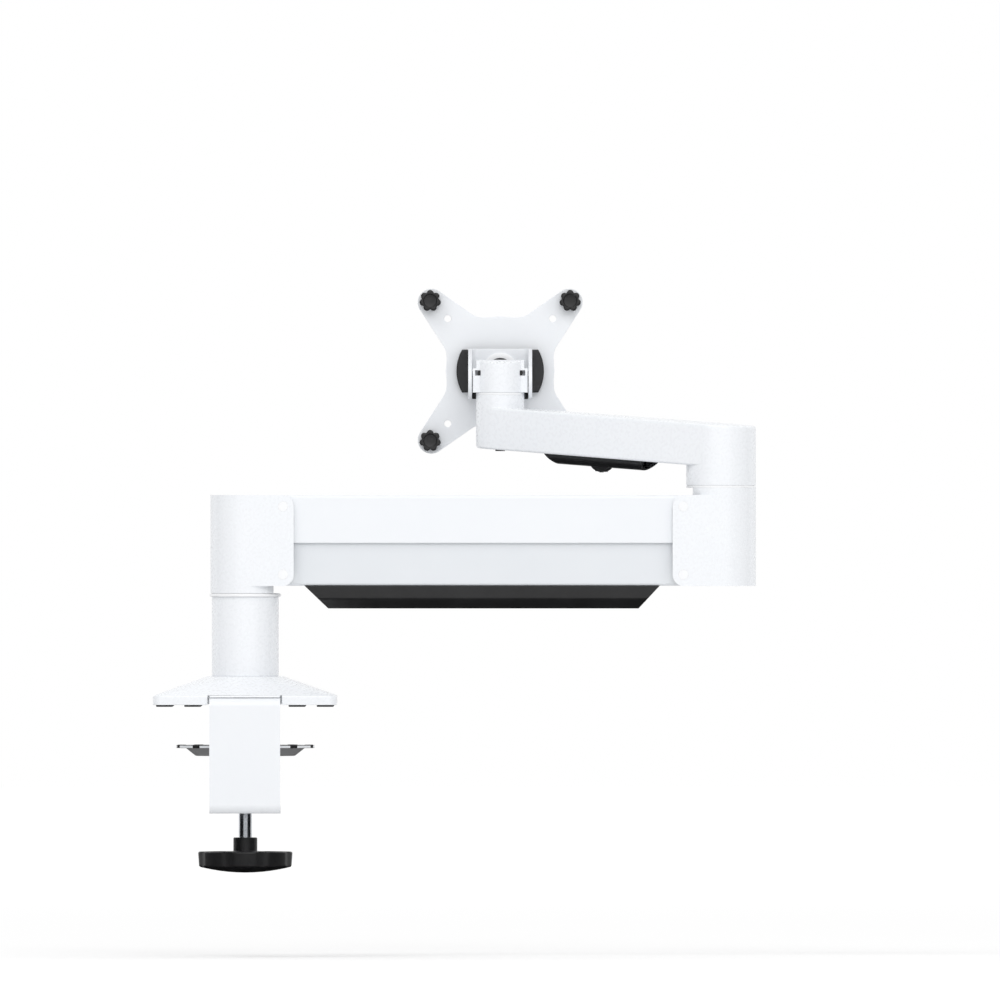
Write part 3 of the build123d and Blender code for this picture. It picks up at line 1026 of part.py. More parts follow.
with BuildPart() as tilt_block:
    with BuildSketch(Plane.XY.offset(BLOCK_BASE_Z)):
        with Locations((WRIST_X, WRIST_Y)):
            Circle(WRIST_R)
            Rectangle(2 * BLOCK_HALF, BLOCK_DEPTH)
    extrude(amount=SHOULDER_Z - BLOCK_BASE_Z)
    with BuildSketch(Plane.XY.offset(SHOULDER_Z)):
        with Locations((WRIST_X, WRIST_Y)):
            Circle(WRIST_R)
            Rectangle(2 * WRIST_R, BLOCK_DEPTH)
            Rectangle(2 * SHOULDER_HALF, 4 * WRIST_R, mode=Mode.INTERSECT)
    extrude(amount=BLOCK_TOP_Z - SHOULDER_Z)
    # domed top, and the square pockets in the front
    with BuildSketch(HEAD_SIDE.offset(-BLOCK_HALF)):
        with Locations((0, BLOCK_TOP_Z - DOME_R)):
            Circle(DOME_R)
    extrude(amount=2 * BLOCK_HALF, mode=Mode.INTERSECT)
    for x in (-POCKET_X, POCKET_X):
        with BuildSketch(Plane.XZ.offset(-WRIST_Y + BLOCK_DEPTH / 2 + 1)):
            with Locations((WRIST_X + x, POCKET_Z)):
                Rectangle(*POCKET_SIZE)
        extrude(amount=-POCKET_IN - 1, mode=Mode.SUBTRACT)
    add(tube_at(WRIST_X, WRIST_Y, BLOCK_BASE_Z - 1, SEAT_TOP_Z, WRIST_SPINDLE_R), mode=Mode.SUBTRACT)
    add(rod_along_x(0, AXLE_Z, -BLOCK_HALF - 1, BLOCK_HALF + 1, AXLE_R), mode=Mode.SUBTRACT)
save(tilt_block, "tilt_block")

with BuildPart() as tilt_axle:
    add(rod_along_x(0, AXLE_Z, -YOKE_HALF, YOKE_HALF, AXLE_R))
    chamfer(tilt_axle.edges().filter_by(GeomType.CIRCLE), 0.4)
save(tilt_axle, "tilt_axle")

with BuildPart() as tilt_washers:
    washer = EAR_GAP - 0.2
    for x in (-BLOCK_HALF - washer, BLOCK_HALF):
        add(rod_along_x(0, AXLE_Z, x, x + washer, AXLE_WASHER_R, AXLE_R))
save(tilt_washers, "tilt_washers")

# ---------------------------------------------------------------- tilt bracket group
WEB_Y = WRIST_Y + YOKE_DEPTH  # the web's face towards the block
BACK_Y = WEB_Y + BRACKET_SHEET
with BuildPart() as tilt_bracket:
    with BuildSketch(Plane.XY.offset(YOKE_BASE_Z)) as yoke_plan:
        with Locations((WRIST_X, WRIST_Y - YOKE_NOSE)):
            length = YOKE_NOSE + YOKE_DEPTH + BRACKET_SHEET
            Rectangle(2 * YOKE_HALF, length, align=(Align.CENTER, Align.MIN))
        fillet(yoke_plan.vertices().group_by(Axis.Y)[-1], YOKE_BEND_R + BRACKET_SHEET)
        with BuildSketch(mode=Mode.PRIVATE) as yoke_gap:
            with Locations((WRIST_X, WRIST_Y - YOKE_NOSE - 1)):
                Rectangle(2 * EAR_INNER, YOKE_NOSE + YOKE_DEPTH + 1, align=(Align.CENTER, Align.MIN))
            fillet(yoke_gap.vertices().group_by(Axis.Y)[-1], YOKE_BEND_R)
        add(yoke_gap.sketch, mode=Mode.SUBTRACT)
    extrude(amount=YOKE_TOP_Z - YOKE_BASE_Z)
    with BuildSketch(HEAD_SIDE):
        with BuildSketch(mode=Mode.PRIVATE) as ear:
            with Locations((0, AXLE_Z)):
                Circle(YOKE_NOSE)
            with Locations((YOKE_DEPTH - 8, YOKE_BASE_Z)):
                Rectangle(20, YOKE_TOP_Z - YOKE_BASE_Z, align=(Align.MIN, Align.MIN))
            make_hull()
        add(ear.sketch)
    extrude(amount=YOKE_HALF + 1, both=True, mode=Mode.INTERSECT)
    bore = AXLE_R + RUNNING_GAP
    add(rod_along_x(0, AXLE_Z, -YOKE_HALF - 1, YOKE_HALF + 1, bore), mode=Mode.SUBTRACT)
    add(rod_along_y(WRIST_X, PLATE_CENTRE_Z, WEB_Y - 1, PLATE_BACK_Y, BOLT_R), mode=Mode.SUBTRACT)
save(tilt_bracket, "tilt_bracket")

with BuildPart() as tilt_stop:
    with BuildSketch(Plane.XY.offset(YOKE_BASE_Z)):
        with Locations((WRIST_X, WEB_Y)):
            Rectangle(2 * (EAR_INNER - STOP_GAP), STOP_DEPTH, align=(Align.CENTER, Align.MAX))
    extrude(amount=STOP_HEIGHT)
    fillet(tilt_stop.edges().filter_by(Axis.Z).group_by(Axis.Y)[-1], YOKE_BEND_R - 0.2)
save(tilt_stop, "tilt_stop")

with BuildPart() as friction_disc:
    with BuildSketch(Plane.XZ.offset(-BACK_Y)):
        with Locations((WRIST_X, PLATE_CENTRE_Z)):
            Circle(DISC_R)
            Rectangle(4 * DISC_R, 2 * DISC_FLAT, mode=Mode.INTERSECT)
            Circle(BOLT_R, mode=Mode.SUBTRACT)
    extrude(amount=-DISC_THICKNESS)
save(friction_disc, "friction_disc")

HEAD_Y = PLATE_BACK_Y + VESA_SHEET
NUT_Y = WEB_Y - 2 * WASHER  # the flange's face, on the white washer
with BuildPart() as pivot_bolt:
    head_back = HEAD_Y - 0.2 - PIVOT_HEAD
    add(rod_along_y(WRIST_X, PLATE_CENTRE_Z, head_back, HEAD_Y - 0.2, PIVOT_HEAD_R))
    add(rod_along_y(WRIST_X, PLATE_CENTRE_Z, NUT_Y - PIVOT_NUT - 1.5, head_back, BOLT_R))
    add(rod_along_y(WRIST_X, PLATE_CENTRE_Z, NUT_Y, NUT_Y + WASHER, PIVOT_FLANGE_R))
    with BuildSketch(Plane.XZ.offset(PIVOT_NUT - NUT_Y)):
        with Locations((WRIST_X, PLATE_CENTRE_Z)):
            RegularPolygon(PIVOT_NUT_FLAT, 6, major_radius=False)
    extrude(amount=-PIVOT_NUT)
save(pivot_bolt, "pivot_bolt")

with BuildPart() as pivot_washer:
    add(rod_along_y(WRIST_X, PLATE_CENTRE_Z, WEB_Y - WASHER, WEB_Y, PIVOT_WASHER_R, BOLT_R))
save(pivot_washer, "pivot_washer")


# ---------------------------------------------------------------- display plate and thumbscrews
TIP = VESA_WIDE / 2 - TIP_INSET
FLAT, STEEP = radians(35), radians(57)
with BuildPart() as vesa_plate:
    with BuildSketch(Plane.XZ.offset(-PLATE_BACK_Y)):
        with Locations((WRIST_X, PLATE_CENTRE_Z)):
            with BuildSketch(mode=Mode.PRIVATE) as quarter:
                top_tangent = (TIP - TIP_R_OUT * sin(FLAT), TIP + TIP_R_OUT * cos(FLAT))
                side_tangent = (TIP + TIP_R_OUT * sin(STEEP), TIP - TIP_R_OUT * cos(STEEP))
                run = top_tangent[0] - WAIST_TOP[0]
                shoulder = (WAIST_TOP[0], top_tangent[1] - run * tan(FLAT))
                fall = side_tangent[1] - WAIST_SIDE[1]
                hip = (side_tangent[0] - fall / tan(STEEP), WAIST_SIDE[1])
                with BuildLine():
                    Spline(
                        (0, BULGE_TOP), (13.5, BULGE_TOP - 1.5), shoulder,
                        tangents=((1, 0), (cos(FLAT), sin(FLAT))),
                    )
                    Line(shoulder, top_tangent)
                    ThreePointArc(
                        top_tangent, (TIP + TIP_R_OUT * sqrt(0.5), TIP + TIP_R_OUT * sqrt(0.5)),
                        side_tangent,
                    )
                    Line(side_tangent, hip)
                    Spline(
                        hip, (BULGE_SIDE - 1.6, 12), (BULGE_SIDE, 0),
                        tangents=((-cos(STEEP), -sin(STEEP)), (0, -1)),
                    )
                    Line((BULGE_SIDE, 0), (0, 0))
                    Line((0, 0), (0, BULGE_TOP))
                make_face()
                mirror(about=Plane.YZ)
                mirror(about=Plane.XZ)
            add(quarter.sketch)
            with GridLocations(VESA_WIDE, VESA_WIDE, 2, 2):
                Circle(STUD_SHOULDER_R + RUNNING_GAP, mode=Mode.SUBTRACT)
            with GridLocations(VESA_NARROW, VESA_NARROW, 2, 2):
                Circle(HOLE_R, mode=Mode.SUBTRACT)
            Circle(BOLT_R + RUNNING_GAP, mode=Mode.SUBTRACT)
    extrude(amount=-VESA_SHEET)
    recess_y = HEAD_Y - PIVOT_HEAD - 0.4
    recess = rod_along_y(WRIST_X, PLATE_CENTRE_Z, recess_y, HEAD_Y + 1, PIVOT_HEAD_R + FACE_GAP)
    add(recess, mode=Mode.SUBTRACT)
save(vesa_plate, "vesa_plate")

corners = [(x, z) for z in (1, -1) for x in (-1, 1)]
for number, (side, level) in enumerate(corners, start=1):
    x = WRIST_X + side * VESA_WIDE / 2
    z = PLATE_CENTRE_Z + level * VESA_WIDE / 2
    back = PLATE_BACK_Y - FACE_GAP
    with BuildPart() as thumbscrew:
        with BuildSketch(Plane.XZ.offset(-(back - THUMB_HEIGHT))):
            with Locations((x, z)):
                Circle(THUMB_R - 1.1)
                with PolarLocations(THUMB_R - 2.05, THUMB_LOBES, start_angle=90):
                    Circle(THUMB_LOBE_R)
        extrude(amount=-THUMB_HEIGHT)
        add(rod_along_y(x, z, back, HEAD_Y, STUD_SHOULDER_R))
        add(rod_along_y(x, z, HEAD_Y, HEAD_Y + STUD_LENGTH, STUD_R))
        chamfer(thumbscrew.edges().group_by(Axis.Y)[-1], 0.4)
    save(thumbscrew, f"thumbscrew_{number}")
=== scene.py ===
"""Desk-clamp monitor arm: its finishes, its modelled pieces, a plain stage and the camera.

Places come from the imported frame. Sizes are in millimetres everywhere, and a finished mesh is turned to
metres as it takes its place.
"""

from __future__ import annotations

import json
import logging
import math
from collections.abc import Callable, Iterator, Sequence
from contextlib import contextmanager
from dataclasses import dataclass
from enum import Enum

import bmesh
import bpy
from mathutils import Matrix, Vector
from mathutils.geometry import convex_hull_2d

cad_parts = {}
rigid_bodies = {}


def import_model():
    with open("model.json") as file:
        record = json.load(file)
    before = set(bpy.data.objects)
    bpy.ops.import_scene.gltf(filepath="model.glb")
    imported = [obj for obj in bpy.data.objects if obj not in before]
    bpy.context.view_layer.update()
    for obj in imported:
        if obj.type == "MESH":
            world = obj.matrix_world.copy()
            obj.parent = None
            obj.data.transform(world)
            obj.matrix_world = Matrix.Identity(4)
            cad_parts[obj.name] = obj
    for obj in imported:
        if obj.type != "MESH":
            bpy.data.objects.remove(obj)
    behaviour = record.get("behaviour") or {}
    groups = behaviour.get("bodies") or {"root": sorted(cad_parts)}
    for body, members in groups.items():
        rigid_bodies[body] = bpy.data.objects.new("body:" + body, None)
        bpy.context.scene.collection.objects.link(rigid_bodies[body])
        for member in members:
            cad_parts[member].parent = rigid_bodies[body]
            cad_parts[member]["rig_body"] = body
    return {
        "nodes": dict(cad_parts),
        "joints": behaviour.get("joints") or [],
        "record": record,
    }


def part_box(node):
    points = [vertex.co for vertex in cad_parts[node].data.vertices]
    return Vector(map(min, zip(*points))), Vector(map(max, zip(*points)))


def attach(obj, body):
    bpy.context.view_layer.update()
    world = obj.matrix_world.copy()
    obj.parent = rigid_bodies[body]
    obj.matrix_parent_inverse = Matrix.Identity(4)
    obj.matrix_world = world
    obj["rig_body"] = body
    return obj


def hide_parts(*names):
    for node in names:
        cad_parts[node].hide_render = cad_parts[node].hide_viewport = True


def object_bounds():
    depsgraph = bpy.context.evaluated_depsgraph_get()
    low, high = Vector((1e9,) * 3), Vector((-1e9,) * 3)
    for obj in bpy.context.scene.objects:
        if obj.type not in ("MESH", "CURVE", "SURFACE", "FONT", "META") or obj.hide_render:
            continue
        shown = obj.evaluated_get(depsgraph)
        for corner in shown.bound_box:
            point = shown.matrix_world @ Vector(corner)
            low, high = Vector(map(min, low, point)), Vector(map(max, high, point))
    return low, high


LOG = logging.getLogger("monitor_arm")
MM = 0.001
# points of a mesh closer than this are one point, in millimetres
WELD = 0.0005
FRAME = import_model()
CAD_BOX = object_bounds()

Point = tuple[float, float]
Outline = list[Point]
Mesh = bpy.types.Mesh
Tree = bpy.types.NodeTree
Socket = bpy.types.NodeSocket


# ---- places in the frame
def span(node: str) -> tuple[Vector, Vector]:
    """A CAD node's lowest and highest corners, in millimetres."""
    low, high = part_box(node)
    return low / MM, high / MM


def middle(node: str) -> tuple[float, ...]:
    """The middle of a CAD node's box, in millimetres."""
    return tuple((a + b) / 2 for a, b in zip(*span(node)))


def joint_place(name: str) -> Vector:
    """A joint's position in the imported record, in millimetres."""
    found = next(joint for joint in FRAME["joints"] if joint["name"] == name)
    return Vector(found["pos_m"]) / MM


@dataclass(frozen=True)
class Place:
    """A drawing plane: its origin in the frame and the directions of its two axes."""

    origin: tuple[float, float, float] = (0.0, 0.0, 0.0)
    across: tuple[float, float, float] = (1.0, 0.0, 0.0)
    up: tuple[float, float, float] = (0.0, 1.0, 0.0)

    def matrix(self) -> Matrix:
        """The transform from the plane's own axes to the frame's."""
        across, up = Vector(self.across).normalized(), Vector(self.up).normalized()
        turn = Matrix((across, up, across.cross(up))).transposed().to_4x4()
        return Matrix.Translation(self.origin) @ turn


def level(z: float = 0.0, x: float = 0.0, y: float = 0.0) -> Place:
    """A horizontal plane whose normal points up."""
    return Place((x, y, z))


def facing_back(y: float, x: float = 0.0, z: float = 0.0) -> Place:
    """An upright plane across the object, drawn in X and Z, whose normal points along -Y."""
    return Place((x, y, z), (1, 0, 0), (0, 0, 1))


def facing_side(x: float, y: float = 0.0, z: float = 0.0) -> Place:
    """An upright plane drawn in Y and Z, whose normal points along +X."""
    return Place((x, y, z), (0, 1, 0), (0, 0, 1))


# ---- outlines
def arc(centre: Point, radius: float, start: float, end: float, steps: int = 16) -> Outline:
    """Points on an arc, with both ends.

    Args:
        centre: The arc's centre.
        radius: Its radius.
        start: The angle where it starts, in degrees.
        end: The angle where it ends, in degrees.
        steps: How many pieces it is divided into.

    Returns:
        The points in order.
    """
    angles = [math.radians(start + (end - start) * i / steps) for i in range(steps + 1)]
    return [(centre[0] + radius * math.cos(a), centre[1] + radius * math.sin(a)) for a in angles]


def circle(radius: float, centre: Point = (0.0, 0.0), steps: int = 96) -> Outline:
    """Points round a circle, the first one not repeated."""
    return arc(centre, radius, 0, 360, steps)[:-1]


def hexagon(half: float) -> Outline:
    """A hexagon, given half its width across the flats."""
    return circle(half / math.cos(math.pi / 6), steps=6)


def rounded(corners: Outline, radii: float | Sequence[float], steps: int = 6) -> Outline:
    """Round an outline's corners.

    Args:
        corners: The sharp outline.
        radii: One radius, or one for each corner, with 0 for a corner that stays.
        steps: How many pieces each arc is divided into.

    Returns:
        The outline with arcs at its corners.
    """
    result: Outline = []
    for index, corner in enumerate(corners):
        radius = radii if isinstance(radii, (int, float)) else radii[index]
        here = Vector(corner)
        back = (Vector(corners[index - 1]) - here).normalized()
        on = (Vector(corners[(index + 1) % len(corners)]) - here).normalized()
        half = back.angle(on) / 2
        if radius <= 0 or half > math.radians(89.5):
            result.append(corner)
            continue
        centre = here + (back + on).normalized() * radius / math.sin(half)
        first = here + back * radius / math.tan(half) - centre
        turn = math.copysign(math.pi - 2 * half, back.cross(on) * -1)
        for step in range(steps + 1):
            angle = turn * step / steps
            across = first.x * math.cos(angle) - first.y * math.sin(angle)
            up = first.x * math.sin(angle) + first.y * math.cos(angle)
            result.append((centre.x + across, centre.y + up))
    return result


def rectangle(low: Point, high: Point, radius: float = 0.0, steps: int = 6) -> Outline:
    """A rectangle between two corners, rounded if a radius is given."""
    corners = [low, (high[0], low[1]), high, (low[0], high[1])]
    return rounded(corners, radius, steps)


def hull(points: Outline) -> Outline:
    """The outline stretched round a set of points."""
    return [points[i] for i in convex_hull_2d([Vector(p) for p in points])]


def corner_waste(corner: Point, radius: float, out: Point) -> Outline:
    """What is cut away to round one square corner.

    Args:
        corner: The corner's place.
        radius: The radius that it gets.
        out: +1 or -1 along each axis, pointing away from the metal.

    Returns:
        The waste's outline, which reaches a little past the corner.
    """
    centre = (corner[0] - out[0] * radius, corner[1] - out[1] * radius)
    start, end = (0.0 if out[0] > 0 else 180.0), (90.0 if out[1] > 0 else 270.0)
    if out == (1, -1):
        start = 360.0
    curve = arc(centre, radius, start, end, 12)
    far = (corner[0] + out[0] * 3.0, corner[1] + out[1] * 3.0)
    return [*curve, (curve[-1][0], far[1]), far, (far[0], curve[0][1])]


def bezier(a: Point, b: Point, c: Point, d: Point, steps: int) -> Outline:
    """Points on a cubic curve from a to d, without the last one."""
    result = []
    for step in range(steps):
        t = step / steps
        weights = ((1 - t) ** 3, 3 * t * (1 - t) ** 2, 3 * t * t * (1 - t), t**3)
        pairs = list(zip(weights, (a, b, c, d)))
        result.append((sum(w * p[0] for w, p in pairs), sum(w * p[1] for w, p in pairs)))
    return result


# ---- meshes
def placed(name: str, data: bpy.types.ID) -> bpy.types.Object:
    """Make an object for a mesh, a lamp or a camera and link it to the scene."""
    made = bpy.data.objects.new(name, data)
    bpy.context.scene.collection.objects.link(made)
    return made


@contextmanager
def editing(mesh: Mesh) -> Iterator[bmesh.types.BMesh]:
    """Open a mesh for editing and write it back.

    Args:
        mesh: The mesh.

    Yields:
        The mesh in its editable form.
    """
    shape = bmesh.new()
    shape.from_mesh(mesh)
    yield shape
    shape.to_mesh(mesh)
    shape.free()


def plate(
    loops: Sequence[Outline], low: float, high: float, place: Place = Place(), edge: float = 0.4, steps: int = 2
) -> Mesh:
    """Make a plate with rounded edges from flat outlines.

    Args:
        loops: The outer outline, and any holes.
        low: Where it starts along the plane's normal.
        high: Where it ends.
        place: The plane it is drawn on.
        edge: The radius along every edge of its two faces.
        steps: How finely that radius is divided.

    Returns:
        A closed mesh.
    """
    curve = bpy.data.curves.new("outline", "CURVE")
    curve.dimensions = "2D"
    curve.fill_mode = "BOTH"
    curve.extrude = (high - low) / 2 - edge
    curve.bevel_depth = edge
    curve.bevel_resolution = steps
    curve.offset = -edge
    for loop in loops:
        spline = curve.splines.new("POLY")
        spline.points.add(len(loop) - 1)
        for point, (across, up) in zip(spline.points, loop):
            point.co = (across, up, 0.0, 1.0)
        spline.use_cyclic_u = True
    holder = bpy.data.objects.new("outline", curve)
    mesh = bpy.data.meshes.new_from_object(holder)
    bpy.data.objects.remove(holder)
    with editing(mesh) as shape:
        bmesh.ops.remove_doubles(shape, verts=shape.verts, dist=WELD)
        bmesh.ops.translate(shape, verts=shape.verts, vec=(0, 0, (low + high) / 2))
        bmesh.ops.recalc_face_normals(shape, faces=shape.faces)
    mesh.transform(place.matrix())
    return mesh


def skin(rings: Sequence[Sequence[Vector]], wrap: bool = False) -> Mesh:
    """Cover a row of rings that all have as many points.

    Args:
        rings: The rings, each a closed loop of points.
        wrap: Whether the last ring is joined to the first, instead of both being filled.

    Returns:
        The mesh.
    """
    count = len(rings[0])
    faces = []
    for row in range(len(rings) if wrap else len(rings) - 1):
        below, above = row * count, (row + 1) % len(rings) * count
        faces += [(below + i, below + (i + 1) % count, above + (i + 1) % count, above + i) for i in range(count)]
    if not wrap:
        last = (len(rings) - 1) * count
        faces += [tuple(reversed(range(count))), tuple(range(last, last + count))]
    mesh = bpy.data.meshes.new("skin")
    mesh.from_pydata([point for ring in rings for point in ring], [], faces)
    with editing(mesh) as shape:
        bmesh.ops.remove_doubles(shape, verts=shape.verts, dist=WELD)
        bmesh.ops.delete(shape, geom=[e for e in shape.edges if not e.link_faces], context="EDGES")
        bmesh.ops.recalc_face_normals(shape, faces=shape.faces)
    return mesh


def block(outline: Outline, low: float, high: float, place: Place = Place()) -> Mesh:
    """Extrude one outline between two heights along its plane's normal."""
    move = place.matrix()
    return skin([[move @ Vector((across, up, height)) for across, up in outline] for height in (low, high)])


def ring(inner: float, outer: float, low: float, high: float, edge: float) -> Outline:
    """The profile of a ring or, with no inner radius, of a disc, with rounded corners."""
    radii = [edge if inner else 0.0, edge, edge, edge if inner else 0.0]
    corners = [(inner, low), (outer, low), (outer, high), (inner, high)]
    return rounded(corners, radii, 3)


def turned(
    profile: Outline, place: Place = Place(), steps: int = 96, lobes: Callable[[float, float], float] | None = None
) -> Mesh:
    """Turn a closed profile round a plane's normal.

    Args:
        profile: Radius and height of each point.
        place: The plane whose origin the axis goes through.
        steps: How many sides it gets.
        lobes: Gives the radius at an angle and a radius, where the form isn't round.

    Returns:
        A closed mesh.
    """
    move = place.matrix()
    rings = []
    for radius, height in profile:
        row = []
        for angle in [2 * math.pi * i / steps for i in range(steps)]:
            reach = lobes(angle, radius) if lobes else radius
            row.append(move @ Vector((reach * math.cos(angle), reach * math.sin(angle), height)))
        rings.append(row)
    return skin(rings, wrap=True)


def drill(radius: float, low: float, high: float, place: Place = Place(), steps: int = 48) -> Mesh:
    """A plain cutter for a round hole along a plane's normal."""
    return turned(ring(0.0, radius, low, high, 0.0), place, steps)


def thread(radius: float, depth: float, pitch: float, low: float, high: float, place: Place) -> Mesh:
    """A rod with a helical thread.

    Args:
        radius: The radius over the crests.
        depth: How deep the thread is cut.
        pitch: The crest spacing.
        low: Where it starts along the plane's normal.
        high: Where it ends.
        place: The plane whose origin the axis goes through.

    Returns:
        A closed mesh.
    """
    move, around = place.matrix(), 32
    rows = max(2, round((high - low) / pitch * 6))
    rings = []
    for number in range(rows + 1):
        height = low + (high - low) * number / rows
        fade = min(1.0, (high - height) / pitch, 0.15 + (height - low) / pitch)
        row = []
        for step in range(around):
            angle = 2 * math.pi * step / around
            wave = abs(2 * ((height / pitch - step / around) % 1.0) - 1)
            reach = radius - depth * (1 - wave * max(fade, 0.0))
            row.append(move @ Vector((reach * math.cos(angle), reach * math.sin(angle), height)))
        rings.append(row)
    return skin(rings)


def joined(*parts: Mesh) -> Mesh:
    """Put several meshes together in one, each still closed by itself."""
    mesh = bpy.data.meshes.new("joined")
    with editing(mesh) as shape:
        for part in parts:
            shape.from_mesh(part)
    return mesh


def modified(mesh: Mesh, kind: str, **settings: object) -> Mesh:
    """Run one modifier on a mesh.

    Args:
        mesh: The mesh.
        kind: The modifier's type.
        settings: Its properties.

    Returns:
        What the modifier makes of the mesh.
    """
    holder = placed("work", mesh)
    modifier = holder.modifiers.new("work", kind)
    for name, value in settings.items():
        setattr(modifier, name, value)
    bpy.context.view_layer.update()
    graph = bpy.context.evaluated_depsgraph_get()
    result = bpy.data.meshes.new_from_object(holder.evaluated_get(graph), depsgraph=graph)
    bpy.data.objects.remove(holder)
    return result


def combine(mesh: Mesh, operation: str, *tools: Mesh) -> Mesh:
    """Cut, join or intersect a closed mesh with others.

    Args:
        mesh: The mesh that changes.
        operation: DIFFERENCE, UNION or INTERSECT.
        tools: The closed meshes it is done with, one after the other.

    Returns:
        The result.
    """
    for tool in tools:
        other = placed("tool", tool)
        mesh = modified(mesh, "BOOLEAN", operation=operation, solver="EXACT", object=other)
        bpy.data.objects.remove(other)
    return mesh


def cut(mesh: Mesh, *tools: Mesh) -> Mesh:
    """Cut closed meshes out of another."""
    return combine(mesh, "DIFFERENCE", *tools)


def softened(mesh: Mesh, width: float, angle: float, segments: int = 2) -> Mesh:
    """Round a mesh's sharp edges.

    Args:
        mesh: The mesh.
        width: How far the rounding reaches from an edge.
        angle: The least angle of an edge that is rounded, in degrees.
        segments: How finely it is rounded.

    Returns:
        The rounded mesh.
    """
    with editing(mesh) as shape:
        bmesh.ops.remove_doubles(shape, verts=shape.verts, dist=4 * WELD)
        bmesh.ops.dissolve_limit(shape, angle_limit=math.radians(0.5), verts=shape.verts, edges=shape.edges)
    return modified(
        mesh, "BEVEL", width=width, segments=segments, limit_method="ANGLE", angle_limit=math.radians(angle),
        use_clamp_overlap=True, miter_outer="MITER_ARC",
    )


def fit(mesh: Mesh, name: str, finish: Finish, *nodes: str, on: str = "", crease: float = 38.0) -> None:
    """Dress a finished mesh and put it on its CAD body.

    Args:
        mesh: The mesh, in millimetres.
        name: The piece's name.
        finish: Its finish.
        nodes: The CAD nodes that it stands for.
        on: A CAD node on the body that it rides on, where that isn't the first of the others.
        crease: Edges sharper than this angle stay sharp in the shading.
    """
    mesh.transform(Matrix.Scale(MM, 4))
    mesh.shade_smooth()
    mesh.set_sharp_from_angle(angle=math.radians(crease))
    # the large faces keep their own direction beside small rounded edges
    mesh = modified(mesh, "WEIGHTED_NORMAL", keep_sharp=True, weight=100)
    mesh.name = name
    mesh.materials.clear()
    mesh.materials.append(finish.material())
    piece = placed(name, mesh)
    body = FRAME["nodes"][on or nodes[0]]["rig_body"]
    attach(piece, body)
    if nodes:
        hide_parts(*nodes)
    LOG.info("%s on %s, %d faces, %s", name, body, len(mesh.polygons), finish.name.lower())


# ---- finishes
def hex_to_linear(code: str) -> tuple[float, float, float, float]:
    """Turn an sRGB hex colour into linear values.

    Args:
        code: Six hex digits after a hash sign.

    Returns:
        Red, green, blue and an alpha of 1.
    """
    channels = [int(code[i : i + 2], 16) / 255 for i in (1, 3, 5)]
    linear = [c / 12.92 if c <= 0.04045 else ((c + 0.055) / 1.055) ** 2.4 for c in channels]
    return (linear[0], linear[1], linear[2], 1.0)


def add_node(
    tree: Tree, kind: str, settings: dict[str, object] | None = None, links: dict[str, Socket] | None = None
) -> bpy.types.Node:
    """Add one shader node with its settings and incoming links.

    Args:
        tree: The node tree that takes the node.
        kind: The node's type name.
        settings: Property names, or an input's name or number after a dot, and their values.
        links: An input's name or number and the output socket that feeds it.

    Returns:
        The new node.
    """
    node = tree.nodes.new(kind)
    for name, value in (settings or {}).items():
        if name.startswith("."):
            key = name[1:]
            node.inputs[int(key) if key.isdigit() else key].default_value = value
        else:
            setattr(node, name, value)
    for name, socket in (links or {}).items():
        tree.links.new(socket, node.inputs[int(name) if name.isdigit() else name])
    return node


def new_tree(name: str) -> tuple[bpy.types.Material, Tree]:
    """Make a material with an empty node tree."""
    material = bpy.data.materials.new(name)
    material.use_nodes = True
    material.node_tree.nodes.clear()
    return material, material.node_tree


def edge_mask(tree: Tree, width_mm: float, break_up: Socket) -> Socket:
    """Find the outer edges: those that hands and tools rub, and those that the coats paint paler as a painted
    highlight.

    Args:
        tree: The material's node tree.
        width_mm: How far from an edge the rubbing and the painted highlight reach.
        break_up: A noise that makes them uneven.

    Returns:
        A socket that is 1 on such an edge and 0 away from it.
    """
    round_normal = add_node(tree, "ShaderNodeBevel", {"samples": 6, ".Radius": width_mm * MM})
    flat = add_node(tree, "ShaderNodeNewGeometry")
    apart = add_node(
        tree, "ShaderNodeVectorMath", {"operation": "DISTANCE"},
        {"0": round_normal.outputs[0], "1": flat.outputs["Normal"]},
    )
    uneven = add_node(
        tree, "ShaderNodeMath", {"operation": "MULTIPLY"}, {"0": apart.outputs["Value"], "1": break_up}
    )
    return add_node(
        tree, "ShaderNodeMapRange", {".From Min": 0.06, ".From Max": 0.30}, {"Value": uneven.outputs[0]}
    ).outputs[0]


def two_coats(tree: Tree, tones: tuple[str, str, str], drift: Socket, edge_mm: float) -> Socket:
    """A colour that drifts between two tones and gives way to a third along the edges.

    Args:
        tree: The material's node tree.
        tones: The main tone, the one it drifts to and the edges' one, as hex colours.
        drift: A slow noise that leads the drift.
        edge_mm: How wide the edges' band is.

    Returns:
        The colour's socket.
    """
    main, other, edge = (hex_to_linear(tone) for tone in tones)
    coat = add_node(tree, "ShaderNodeMix", {"data_type": "RGBA", ".6": main, ".7": other}, {"Factor": drift})
    return add_node(
        tree, "ShaderNodeMix", {"data_type": "RGBA", ".7": edge},
        {"Factor": edge_mask(tree, edge_mm, drift), "6": coat.outputs[2]},
    ).outputs[2]


